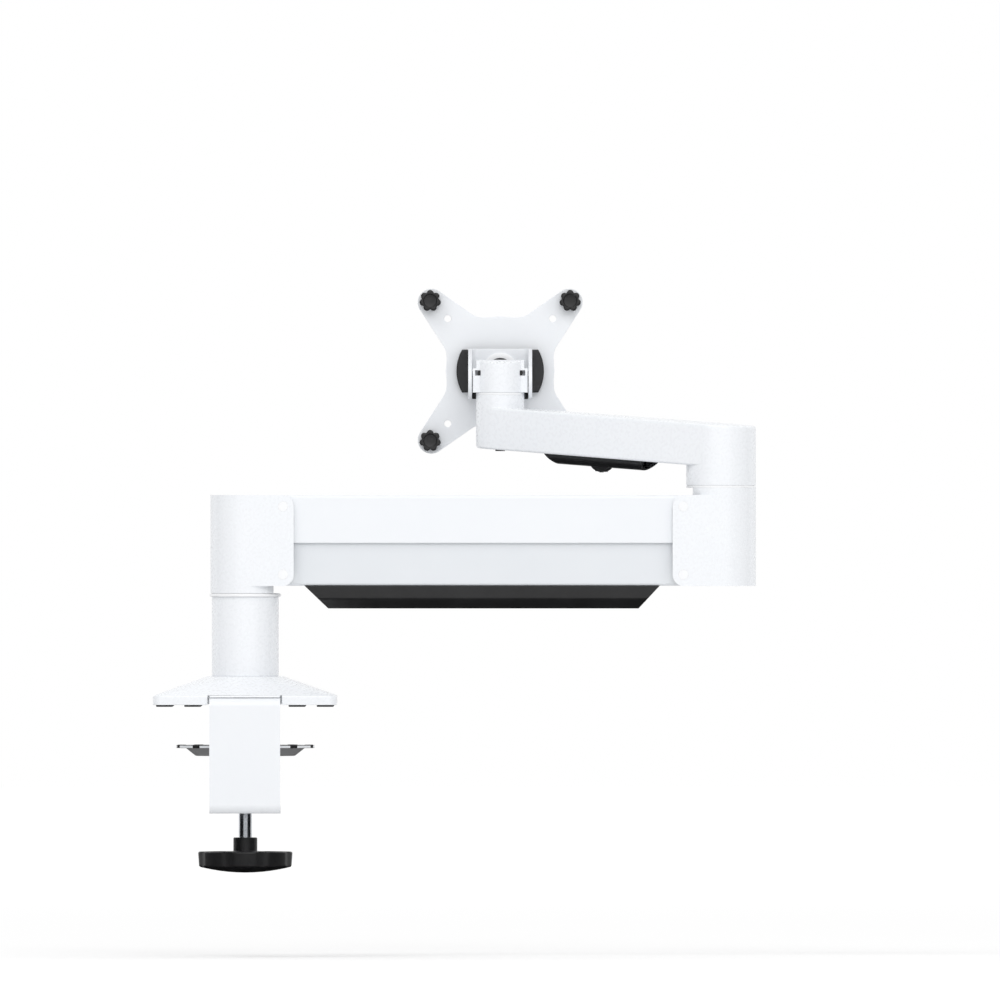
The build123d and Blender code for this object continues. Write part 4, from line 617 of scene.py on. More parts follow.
def close_surface(
    tree: Tree, colour: Socket, relief: Socket, gloss: Point, bump: Point, settings: dict[str, float],
    rubbed: Socket | None = None,
) -> None:
    """End a material with its relief's gloss and bump, the shader and the output.

    Args:
        tree: The material's node tree.
        colour: The colour.
        relief: The noise that gloss and bump follow.
        gloss: The roughness in the relief's dips and on its crests.
        bump: The bump's strength, and its height in millimetres.
        settings: Constants on the shader's own sockets.
        rubbed: A mask of the edges that handling has smoothed.
    """
    rough = add_node(
        tree, "ShaderNodeMapRange", {".From Min": 0.3, ".From Max": 0.7, ".To Min": gloss[0], ".To Max": gloss[1]},
        {"Value": relief},
    )
    if rubbed is not None:
        rough = add_node(
            tree, "ShaderNodeMath", {"operation": "MULTIPLY_ADD", ".1": -0.12}, {"0": rubbed, "2": rough.outputs[0]}
        )
    raised = add_node(tree, "ShaderNodeBump", {".Strength": bump[0], ".Distance": bump[1] * MM}, {"Height": relief})
    shader = add_node(
        tree, "ShaderNodeBsdfPrincipled", settings,
        {"Base Color": colour, "Roughness": rough.outputs[0], "Normal": raised.outputs[0]},
    )
    add_node(tree, "ShaderNodeOutputMaterial", {}, {"Surface": shader.outputs[0]})


@dataclass(frozen=True)
class PowderCoat:
    """Powder coat, sprayed dry and baked: a satin skin with a faint orange peel, paler on the edges, partly from the
    thinner coat there and partly as a painted highlight.
    """

    name: str
    colour: str
    shade: str
    edge: str
    roughness: float = 0.42
    peel_mm: float = 1.6
    peel_height_mm: float = 0.012

    def make(self) -> bpy.types.Material:
        """Build the material: an even colour that is paler at the edges, a thinner coat with a painted highlight, a
        soft sheen and shallow waves.
        """
        material, tree = new_tree(self.name)
        where = add_node(tree, "ShaderNodeTexCoord").outputs["Object"]
        peel = add_node(
            tree, "ShaderNodeTexNoise",
            {".Scale": 1 / (self.peel_mm * MM), ".Detail": 2.0, ".Roughness": 0.45}, {"Vector": where},
        ).outputs["Fac"]
        drift = add_node(tree, "ShaderNodeTexNoise", {".Scale": 1 / (45 * MM), ".Detail": 3.0}, {"Vector": where})
        # the edges' tone is paler than the coat: partly the thinner coat, partly a painted highlight along every edge
        colour = two_coats(tree, (self.colour, self.shade, self.edge), drift.outputs["Fac"], 0.5)
        gloss = (self.roughness - 0.04, self.roughness + 0.05)
        close_surface(tree, colour, peel, gloss, (0.5, self.peel_height_mm), {".IOR": 1.5})
        return material


@dataclass(frozen=True)
class MouldedPlastic:
    """Injection-moulded plastic or rubber: the mould's spark-eroded grain, polished where it is handled."""

    name: str
    colour: str
    worn: str
    roughness: float
    grain_mm: float = 0.55
    grain_height_mm: float = 0.02
    ior: float = 1.49

    def make(self) -> bpy.types.Material:
        """Build the material: fine pits from the mould, raised grain a little paler, smoother edges."""
        material, tree = new_tree(self.name)
        where = add_node(tree, "ShaderNodeTexCoord").outputs["Object"]
        grain = add_node(
            tree, "ShaderNodeTexNoise",
            {".Scale": 1 / (self.grain_mm * MM), ".Detail": 4.0, ".Roughness": 0.6}, {"Vector": where},
        ).outputs["Fac"]
        cloud = add_node(tree, "ShaderNodeTexNoise", {".Scale": 1 / (18 * MM), ".Detail": 3.0}, {"Vector": where})
        both = add_node(
            tree, "ShaderNodeMath", {"operation": "MULTIPLY"}, {"0": grain, "1": cloud.outputs["Fac"]}
        )
        ramp = add_node(
            tree, "ShaderNodeMapRange", {".From Min": 0.12, ".From Max": 0.42, ".To Max": 0.6},
            {"Value": both.outputs[0]},
        )
        rubbed = edge_mask(tree, 0.7, grain)
        pale = add_node(tree, "ShaderNodeMath", {"operation": "MAXIMUM"}, {"0": ramp.outputs[0], "1": rubbed})
        colour = add_node(
            tree, "ShaderNodeMix",
            {"data_type": "RGBA", ".6": hex_to_linear(self.colour), ".7": hex_to_linear(self.worn)},
            {"Factor": pale.outputs[0]},
        ).outputs[2]
        gloss = (self.roughness - 0.06, self.roughness + 0.06)
        close_surface(tree, colour, grain, gloss, (0.6, self.grain_height_mm), {".IOR": self.ior}, rubbed)
        return material


class Grain(Enum):
    """The way that a tool's marks run on metal, as the pattern's scale along X, Y and Z."""

    ALONG_X = (0.04, 1.0, 1.0)
    AROUND_Z = (0.06, 0.06, 1.0)
    EVEN = (1.0, 1.0, 1.0)


@dataclass(frozen=True)
class Metal:
    """Bare, plated or blackened steel, with the fine marks that turning, grinding or drawing leaves."""

    name: str
    colour: str
    dark: str
    rubbed: str
    roughness: float
    grain: Grain = Grain.EVEN
    mark_mm: float = 0.35
    mark_height_mm: float = 0.006

    def make(self) -> bpy.types.Material:
        """Build the material: a metal with tool marks in its gloss and bump, and brighter edges."""
        material, tree = new_tree(self.name)
        where = add_node(tree, "ShaderNodeTexCoord").outputs["Object"]
        stretched = add_node(tree, "ShaderNodeMapping", {".Scale": self.grain.value}, {"Vector": where})
        marks = add_node(
            tree, "ShaderNodeTexNoise",
            {".Scale": 1 / (self.mark_mm * MM), ".Detail": 3.0}, {"Vector": stretched.outputs[0]},
        ).outputs["Fac"]
        patches = add_node(tree, "ShaderNodeTexNoise", {".Scale": 1 / (6 * MM), ".Detail": 4.0}, {"Vector": where})
        colour = two_coats(tree, (self.colour, self.dark, self.rubbed), patches.outputs["Fac"], 0.4)
        gloss = (max(self.roughness - 0.05, 0.03), self.roughness + 0.07)
        close_surface(tree, colour, marks, gloss, (0.35, self.mark_height_mm), {".Metallic": 1.0})
        return material


MADE: dict[str, bpy.types.Material] = {}


class Finish(Enum):
    """Every finish on the object, each with the record's slot that it belongs to."""

    # powder coat over cast aluminium: even satin white, the casting's skin only just felt under it. The
    # peel is drawn at 2.2 mm, coarser than it is, so that it shows
    CAST_COAT = (
        "white_coated_casting",
        PowderCoat("powder_coated_cast_aluminium", "#F6F8FB", "#F2F5F9", "#FAFBFD", 0.28, 2.2, 0.004),
    )
    # powder coat over folded sheet: the same white, flatter and finer, since the sheet under it is smooth
    WHITE_COAT = (
        "white_powder_coat",
        PowderCoat("powder_coated_sheet_steel", "#F5F7FA", "#F1F4F8", "#FAFBFD", 0.34, 1.6, 0.005),
    )
    # the same coat a shade greyer on the folded lower channel
    PALE_COAT = (
        "grey_white_powder_coat",
        PowderCoat("grey_powder_coated_steel", "#E9ECF0", "#E3E7EB", "#F4F6F8", 0.38, 1.6, 0.005),
    )
    # thin grey paint on pressed sheet: flatter and duller than the white, its edges paler partly as a painted
    # highlight; the bright rim is a separate pale band, a painted highlight
    GREY_COAT = ("grey_painted_steel", PowderCoat("painted_pressed_steel", "#8B8B8C", "#7F7F80", "#B9BABC", 0.5))
    # white acetal rings and plugs: smooth and faintly waxy, drawn a little brighter than the coat beside them as
    # painted light that lifts the rings out of the shade they sit in
    WHITE_ACETAL = ("white_acetal", MouldedPlastic("moulded_white_acetal", "#F8F9FB", "#FBFCFD", 0.3, 0.9, 0.004))
    # natural acetal bearings inside the joints
    BEARING = ("bearing_acetal", MouldedPlastic("turned_natural_acetal", "#CFCFC8", "#D9D9D2", 0.4, 0.9, 0.006))
    # glass-filled nylon from an eroded mould: near black with a fine even grain that scatters light. The
    # grain is drawn at 0.6 mm, twice its size, so that it shows
    BLACK_NYLON = ("black_plastic", MouldedPlastic("moulded_black_nylon", "#19191A", "#29292B", 0.42, 0.6, 0.02))
    # dull black rubber with almost no highlight
    RUBBER = ("black_rubber", MouldedPlastic("moulded_black_rubber", "#1A1A1B", "#242425", 0.75, 0.8, 0.03, 1.52))
    # bright zinc over turned steel: cool silver with fine rings round the axis
    ZINC = (
        "bright_zinc_steel",
        Metal("zinc_plated_turned_steel", "#D9DCE0", "#BFC3C9", "#ECEEF0", 0.2, Grain.AROUND_Z),
    )
    # blackened socket screws: dark, slightly oily, steel showing at the corners
    BLACK_OXIDE = ("black_oxide_steel", Metal("black_oxide_screw_steel", "#3A3A3D", "#2B2B2E", "#6A6A6E", 0.38))
    # stoved gloss black on the drawn cylinder
    BLACK_STOVED = (
        "black_painted_cylinder", PowderCoat("stoved_black_enamel", "#202124", "#1B1C1F", "#38393C", 0.25, 2.5, 0.006)
    )
    # ground and hard-chromed rod: a near mirror
    CHROME = (
        "hard_chrome_rod",
        Metal("hard_chromed_ground_steel", "#DDDEE2", "#D3D5DA", "#E6E7EA", 0.07, Grain.ALONG_X, 0.3, 0.001),
    )

    @property
    def slot(self) -> str:
        """The record's material slot."""
        return self.value[0]

    def material(self) -> bpy.types.Material:
        """The Blender material, made once and then shared."""
        if self.name not in MADE:
            MADE[self.name] = self.value[1].make()
        return MADE[self.name]


def dress_frame() -> None:
    """Give every CAD node the finish of its slot in the record."""
    by_slot = {finish.slot: finish for finish in Finish}
    for row in FRAME["record"]["subparts"]:
        node = FRAME["nodes"][row["node"]]
        node.data.materials.clear()
        node.data.materials.append(by_slot[row["material_slot"]].material())


@dataclass
class LippedRing:
    """An acetal ring between two turning parts, with a low lip that closes the running gap."""

    node: str
    name: str
    bore: float
    foot: float
    head: float
    lip_outside: Point
    lip_inside: Point
    steps: int
    gap: float = 0.27

    def build(self) -> None:
        """Make the ring; the lip's two sides are given as its inset at the root and at the top."""
        low, high = span(self.node)
        x, y, _ = middle(self.node)
        outer = (high.x - low.x) / 2
        root, crest = self.lip_outside
        profile = [
            (self.bore, low.z), (outer - self.foot, low.z), (outer, low.z + self.foot), (outer, high.z - self.head),
            (outer - self.head, high.z), (outer - root, high.z), (outer - crest, high.z + self.gap),
            (self.bore + self.lip_inside[1], high.z + self.gap), (self.bore + self.lip_inside[0], high.z),
            (self.bore, high.z),
        ]
        fit(turned(profile, level(0, x, y), self.steps), self.name, Finish.WHITE_ACETAL, self.node)


# ---- desk foot and post
@dataclass
class DeskFoot:
    """The cast foot with its rubber pads, and the tube that stands on it."""

    rim_corner: float = 6.0
    neck_half: float = 26.8
    neck_corner: float = 24.0
    rim_height: float = 6.4
    wall: float = 3.5
    crown_half: float = 25.1
    crown_roof: float = 5.3
    slit: float = 1.3
    slit_height: float = 6.7
    core_radius: float = 25.0
    core_bore: float = 10.5
    core_floor: float = 5.0
    spigot_bore: float = 12.3
    spigot_radius: float = 18.65
    pad_radius: float = 6.0
    pad_columns: Point = (37.0, 57.0)
    pad_row: float = 43.0
    boss_rise: Point = (1.0, -0.3)
    tube_wall: float = 5.0
    spigot: float = 6.0

    def build(self) -> None:
        """Make the foot, its pads, the tube and the ring on the tube."""
        self.casting()
        self.pads()
        self.tube()
        LippedRing("post_washer", "shoulder_acetal_ring", 10.3, 0.35, 0.45, (1.2, 1.5), (7.2, 7.7), 144).build()

    def pad_places(self) -> list[Point]:
        """The pads' centres: the inner columns, then the outer ones."""
        return [(sx * x, sy * self.pad_row) for x in self.pad_columns for sx in (-1, 1) for sy in (-1, 1)]

    def level_ring(self, share: float, inset: float, z: float, half: Point) -> list[Vector]:
        """One level outline of the flared casting.

        Args:
            share: 0 for the rim's outline and 1 for the neck's.
            inset: How far it is moved inwards.
            z: Its height.
            half: The rim's half width and half depth.

        Returns:
            The outline's points.
        """
        across = half[0] + (self.neck_half - half[0]) * share - inset
        deep = half[1] + (self.neck_half - half[1]) * share - inset
        radius = max(self.rim_corner + (self.neck_corner - self.rim_corner) * share - inset * 0.5, 2.0)
        return [Vector((x, y, z)) for x, y in rectangle((-across, -deep), (across, deep), radius, 12)]

    def casting(self) -> None:
        """The hollow foot: an upright rim, a ruled flare, ribs, pad bosses and the notch at the back."""
        low, high = span("base_foot")
        top = high.z - self.spigot
        half = (high.x, high.y)
        lip = low.z + self.rim_height
        flare = top - lip
        rings = [
            self.level_ring(0.925, 0.0, top - 1.4 * self.wall, half),
            self.level_ring(0.0, self.wall, lip - self.wall / 2, half),
            self.level_ring(0.0, self.wall, low.z, half),
            self.level_ring(0.0, 0.35, low.z, half),
            self.level_ring(0.0, 0.0, low.z + 0.35, half),
            self.level_ring(0.0, 0.0, lip - 1.1, half),
            self.level_ring(0.0, 0.10, lip - 0.45, half),
            self.level_ring(0.006, 0.14, lip - 0.05, half),
        ]
        rings += [self.level_ring(s, 0.0, lip + flare * s, half) for s in (0.03, 0.15, 0.3, 0.45, 0.6, 0.75, 0.9)]
        rings += [
            self.level_ring(0.975, 0.0, lip + flare * 0.975, half),
            self.level_ring(0.995, 0.15, top - 0.1, half),
            self.level_ring(1.0, 0.6, top, half),
        ]
        shell = skin(rings)
        back, deep = -half[1], self.wall + 3.0
        inside, outside = self.crown_half - 0.1, self.crown_half + self.slit
        notches = [
            block(rectangle((left, back - deep), (right, back + deep)), low.z - 1, low.z + roof)
            for left, right, roof in (
                (-self.crown_half, self.crown_half, self.crown_roof), (inside, outside, self.slit_height),
                (-outside, -inside, self.slit_height),
            )
        ]
        shell = cut(shell, *notches)
        shell = softened(shell, 0.3, 50)
        floor = low.z + self.core_floor
        parts = [shell, turned(ring(self.core_bore, self.core_radius, floor, top - 2, 0.5))]
        for across, deep_half in ((half[0] - self.wall, self.wall / 2), (self.wall / 2, half[1] - self.wall)):
            rib = rectangle((-across, -deep_half), (across, deep_half), 0.5)
            parts.append(block(rib, floor, lip + 1.0))
        for x, y in self.pad_places():
            # the flare is lower over the outer bosses
            rise = self.boss_rise[abs(x) > self.pad_columns[0]]
            parts.append(turned(ring(0.0, self.pad_radius + 1, low.z, lip + rise, 0.4), level(0, x, y), 40))
        parts.append(turned(ring(self.spigot_bore, self.spigot_radius, top - 1, high.z, 0.3)))
        fit(joined(*parts), "foot_casting", Finish.CAST_COAT, "base_foot")

    def pads(self) -> None:
        """Eight rubber discs, each with a ring groove in its face."""
        low, high = span("foot_pads")
        profile = [
            (0.0, low.z + 0.35), (2.2, low.z + 0.35), (2.5, low.z), (3.4, low.z), (3.7, low.z + 0.35),
            (4.5, low.z + 0.35), (4.8, low.z), (5.7, low.z), (6.0, low.z + 0.25), (6.0, high.z), (0.0, high.z),
        ]
        discs = [turned(profile, level(0, *place), 48) for place in self.pad_places()]
        fit(joined(*discs), "foot_rubber_discs", Finish.RUBBER, "foot_pads")

    def tube(self) -> None:
        """The drawn tube, its mouth dressed smooth."""
        low, high = span("post_tube")
        profile = ring(high.x - self.tube_wall, high.x, low.z, high.z, 0.5)
        fit(turned(profile, steps=144), "post_drawn_tube", Finish.CAST_COAT, "post_tube")


# ---- desk clamp
@dataclass
class ClampBracket:
    """The folded steel bracket with the rubber under its top, its four screws and the clamp's nut."""

    sheet: float = 5.0
    bend_outer: float = 6.0
    bend_inner: float = 1.0
    top_corner: float = 8.0
    toe_corner: float = 12.0
    edge: float = 0.5
    nut_across: float = 17.0
    nut_height: float = 8.0
    thread_hole: float = 4.85
    bolt_hole: float = 10.0
    head_hole: float = 7.0
    socket: float = 2.3
    screw: float = 3.0
    reach_under: float = 81.0
    screw_spread: Point = (17.5, 21.0)
    rib_pitch: float = 4.0
    rib: tuple[Point, ...] = ((-0.8, 0.5), (-0.5, 0.0), (0.5, 0.0), (0.8, 0.5))

    def build(self) -> None:
        """Make the bracket, its rubber and the nut."""
        self.sheet_metal()
        self.rubber()
        self.countersunk_screws()
        self.nut()

    def screw_places(self) -> list[Point]:
        """The centres of the four screws through the top plate."""
        across, deep = self.screw_spread
        return [(x, y) for x in (-across, across) for y in (-deep, deep)]

    def sheet_metal(self) -> None:
        """The bracket, drawn from the side and cut to its plan."""
        low, high = span("clamp_bracket")
        top_front, toe = high.y, low.y + self.reach_under
        side = rounded(
            [
                (top_front, high.z), (low.y, high.z), (low.y, low.z), (toe, low.z), (toe, low.z + self.sheet),
                (low.y + self.sheet, low.z + self.sheet), (low.y + self.sheet, high.z - self.sheet),
                (top_front, high.z - self.sheet),
            ],
            [0, self.bend_outer, self.bend_outer, 0, 0, self.bend_inner, self.bend_inner, 0], 10,
        )
        body = block(side, low.x, high.x, facing_side(0.0))
        cuts = []
        for out in (1, -1):
            cuts.append(block(corner_waste((out * high.x, top_front), self.top_corner, (out, 1)), 0.0, high.z + 2))
            cuts.append(
                block(corner_waste((out * high.x, toe), self.toe_corner, (out, 1)), low.z - 2, low.z + self.sheet + 2)
            )
        cuts.append(drill(self.thread_hole + 0.5, low.z - 1, low.z + self.sheet + 1))
        cuts.append(drill(self.bolt_hole, 0.0, high.z + 1, steps=64))
        seat, over = high.z - self.sheet, high.z + 1
        hole = self.screw + 0.3
        sink = [
            (0.0, seat - 1), (self.head_hole, seat - 1), (6.1, seat), (hole, seat + 2.9), (hole, over), (0.0, over)
        ]
        cuts += [turned(sink, level(0, *place), 36) for place in self.screw_places()]
        body = cut(body, *cuts)
        fit(softened(body, self.edge, 40), "bracket_folded_sheet", Finish.WHITE_COAT, "clamp_bracket")

    def rubber(self) -> None:
        """The rubber sheet under the top plate, ribbed across so that it grips."""
        low, high = span("bracket_pad")
        holes = [circle(self.head_hole, place, 40) for place in self.screw_places()]
        outer = rectangle((low.x, low.y), (high.x, high.y), 2.0)
        parts = [plate([outer, *holes], low.z + 0.35, high.z, edge=0.15)]
        count = int((high.y - low.y) // self.rib_pitch)
        for row in range(1, count):
            y = low.y + row * (high.y - low.y) / count
            stretches = [(low.x + 1, high.x - 1)]
            if abs(abs(y) - self.screw_spread[1]) < 8.5:
                # the ribs leave room for the screws' heads
                stretches = [(low.x + 1, -25.0), (-9.8, 9.8), (25.0, high.x - 1)]
            for start, end in stretches:
                if end - start > 1:
                    profile = [(y + across, low.z + up) for across, up in self.rib]
                    parts.append(block(profile, start, end, facing_side(0.0)))
        fit(joined(*parts), "bracket_ribbed_rubber", Finish.RUBBER, "bracket_pad")

    def countersunk_screws(self) -> None:
        """Four countersunk screws with hexagon sockets, seen from below."""
        low, high = span("bracket_screws")
        neck = low.z + 3.4
        head = [
            (0.0, low.z), (5.5, low.z), (5.8, low.z + 0.25), (self.screw, low.z + 3.0), (self.screw, neck), (0.0, neck)
        ]
        parts = []
        for centre in self.screw_places():
            place = level(0, *centre)
            socket = block(circle(self.socket, centre, 6), low.z - 1, low.z + 2.2)
            parts.append(cut(turned(head, place, 48), socket))
            parts.append(thread(self.screw, 0.35, 1.0, low.z + 3.3, high.z, place))
        fit(joined(*parts), "bracket_countersunk_screws", Finish.BLACK_OXIDE, "bracket_screws")

    def nut(self) -> None:
        """The hexagon nut welded on the bracket's foot, its corners turned off."""
        low, high = span("clamp_nut")
        corner = self.nut_across / 2 / math.cos(math.pi / 6)
        body = block(circle(corner, steps=6), low.z, low.z + self.nut_height)
        foot = low.z - 1
        crown = turned(
            [(0.0, foot), (corner + 1, foot), (corner + 1, high.z - 1.3), (corner - 1.6, high.z), (0.0, high.z)]
        )
        bore = drill(self.thread_hole, low.z - 1, high.z + 1)
        body = cut(combine(body, "INTERSECT", crown), bore)
        fit(softened(body, 0.25, 30), "bracket_hexagon_nut", Finish.ZINC, "clamp_nut")


@dataclass
class ClampScrew:
    """The clamp's screw, its moulded knob and the retaining ring at its tip."""

    radius: float = 4.7
    tip_radius: float = 3.8
    pitch: float = 1.5
    thread_depth: float = 0.3
    smooth_length: float = 27.0
    knob_side: float = 10.8
    knob_dome: float = 4.2
    knob_draft: float = 0.8
    hub_radius: float = 8.5
    hub_length: float = 10.0
    lobes: int = 8
    scallop_radius: float = 20.0
    scallop: float = 1.2

    def build(self) -> None:
        """Make the screw, the ring and the knob."""
        self.screw()
        self.retainer()
        self.knob()

    def screw(self) -> None:
        """The bright screw: plain below the bracket and finely threaded above."""
        low, high = span("clamp_screw")
        dish = span("pressure_plate")[0].z - 0.3
        plain_end = low.z + 1 + self.hub_length + self.smooth_length
        shank = turned(ring(0.0, self.radius, low.z, plain_end, 0.2), steps=64)
        threaded = thread(self.radius, self.thread_depth, self.pitch, plain_end - 0.2, dish - 0.1, level())
        tip = turned(ring(0.0, self.tip_radius, dish - 1, high.z, 0.6), steps=48)
        fit(joined(shank, threaded, tip), "clamp_bright_screw", Finish.ZINC, "clamp_screw", crease=60)

    def retainer(self) -> None:
        """The snap ring that holds the pressure plate on the tip, open at one side."""
        low, high = span("screw_retainer")
        gap = math.degrees(1.6 / high.x)
        outline = arc((0, 0), high.x, gap, 360 - gap, 60) + arc((0, 0), self.tip_radius, 340, 20, 48)
        fit(plate([outline], low.z, high.z, level(), 0.2), "screw_snap_ring", Finish.ZINC, "screw_retainer")

    def knob(self) -> None:
        """The black knob: a domed foot, eight shallow scallops, a moulded ring round its hub."""
        low, high = span("clamp_knob")
        crown = high.z - self.hub_length
        rim, side_foot = high.x, crown - self.knob_side
        dome = [(x, low.z + self.knob_dome * (x / (rim - self.knob_draft)) ** 2) for x in (0, 6, 12, 18, 24, 29)]
        corners = [
            *dome, (rim - self.knob_draft, side_foot), (rim, crown), (rim - 4.5, crown), (rim - 5.2, crown - 1.2),
            (self.hub_radius + 6.5, crown - 1.2), (self.hub_radius + 5.5, crown), (self.hub_radius, crown),
            (self.hub_radius, high.z), (self.radius, high.z), (self.radius, side_foot + 1), (0.0, side_foot + 1),
        ]
        radii = [0.0] * len(dome) + [1.6, 1.1, 0.4, 0.4, 0.4, 0.4, 0.8, 0.7, 0.3, 0.0, 0.0]
        centre = rim + self.scallop_radius - self.scallop

        def lobes(angle: float, radius: float) -> float:
            """The radius inside the scallop at an angle."""
            sector = 2 * math.pi / self.lobes
            away = (angle % sector) - sector / 2
            inside = self.scallop_radius**2 - (centre * math.sin(away)) ** 2
            if inside <= 0:
                return radius
            return min(radius, centre * math.cos(away) - math.sqrt(inside))

        body = turned(rounded(corners, radii, 4), steps=256, lobes=lobes)
        fit(body, "clamp_moulded_knob", Finish.BLACK_NYLON, "clamp_knob")


@dataclass
class PressurePlate:
    """The dished plate under the desk, with rubber plugs snapped through its rim."""

    sheet: float = 2.0
    bore: float = 3.86
    flat_radius: float = 42.3
    dish_radius: float = 35.3
    plug_radius: float = 4.0
    plug_circle: float = 47.2
    plug_count: int = 12

    def build(self) -> None:
        """Make the plate and its plugs."""
        self.dish()
        self.plugs()

    def plug_places(self) -> list[Point]:
        """The plugs' centres."""
        start = 180 / self.plug_count
        return arc((0, 0), self.plug_circle, start, start + 360, self.plug_count)[:-1]

    def dish(self) -> None:
        """The pressed plate: a flat rim, a rounded step and a flat middle."""
        low, high = span("pressure_plate")
        rim = high.x
        corners = [
            (self.bore, low.z), (self.dish_radius, low.z), (self.flat_radius, high.z - self.sheet),
            (rim, high.z - self.sheet), (rim, high.z), (self.flat_radius - 0.9, high.z),
            (self.dish_radius - 0.9, low.z + self.sheet), (self.bore, low.z + self.sheet),
        ]
        profile = rounded(corners, [0.2, 2.4, 1.2, 0.35, 0.35, 2.4, 1.2, 0.2], 5)
        body = turned(profile, steps=180)
        holes = [
            drill(self.plug_radius, high.z - self.sheet - 1, high.z + 1, level(0, *place), 40)
            for place in self.plug_places()
        ]
        body = cut(body, joined(*holes))
        fit(body, "pressure_pressed_dish", Finish.GREY_COAT, "pressure_plate")
        # a thin band in the pale coat round the rim's cut edge: a painted highlight where the rim catches the light
        band = turned(ring(rim - 0.06, rim + 0.02, high.z - self.sheet + 0.3, high.z - 0.3, 0.0), steps=180)
        fit(band, "pressure_rim_painted_highlight", Finish.PALE_COAT, on="pressure_plate")

    def plugs(self) -> None:
        """Twelve rubber plugs, each a low dome trimmed flush with the rim."""
        low, high = span("pressure_plugs")
        profile = [
            (0.0, low.z), (self.plug_radius - 0.3, low.z), (self.plug_radius - 0.02, low.z + 0.3),
            (self.plug_radius - 0.02, high.z - 0.3), (self.plug_radius - 0.9, high.z - 0.06), (0.0, high.z),
        ]
        plugs = [turned(profile, level(0, *place), 40) for place in self.plug_places()]
        limit = drill(span("pressure_plate")[1].x + 0.03, low.z - 1, high.z + 1, steps=180)
        trimmed = [combine(plug, "INTERSECT", limit) for plug in plugs]
        fit(joined(*trimmed), "pressure_rubber_plugs", Finish.RUBBER, "pressure_plugs")


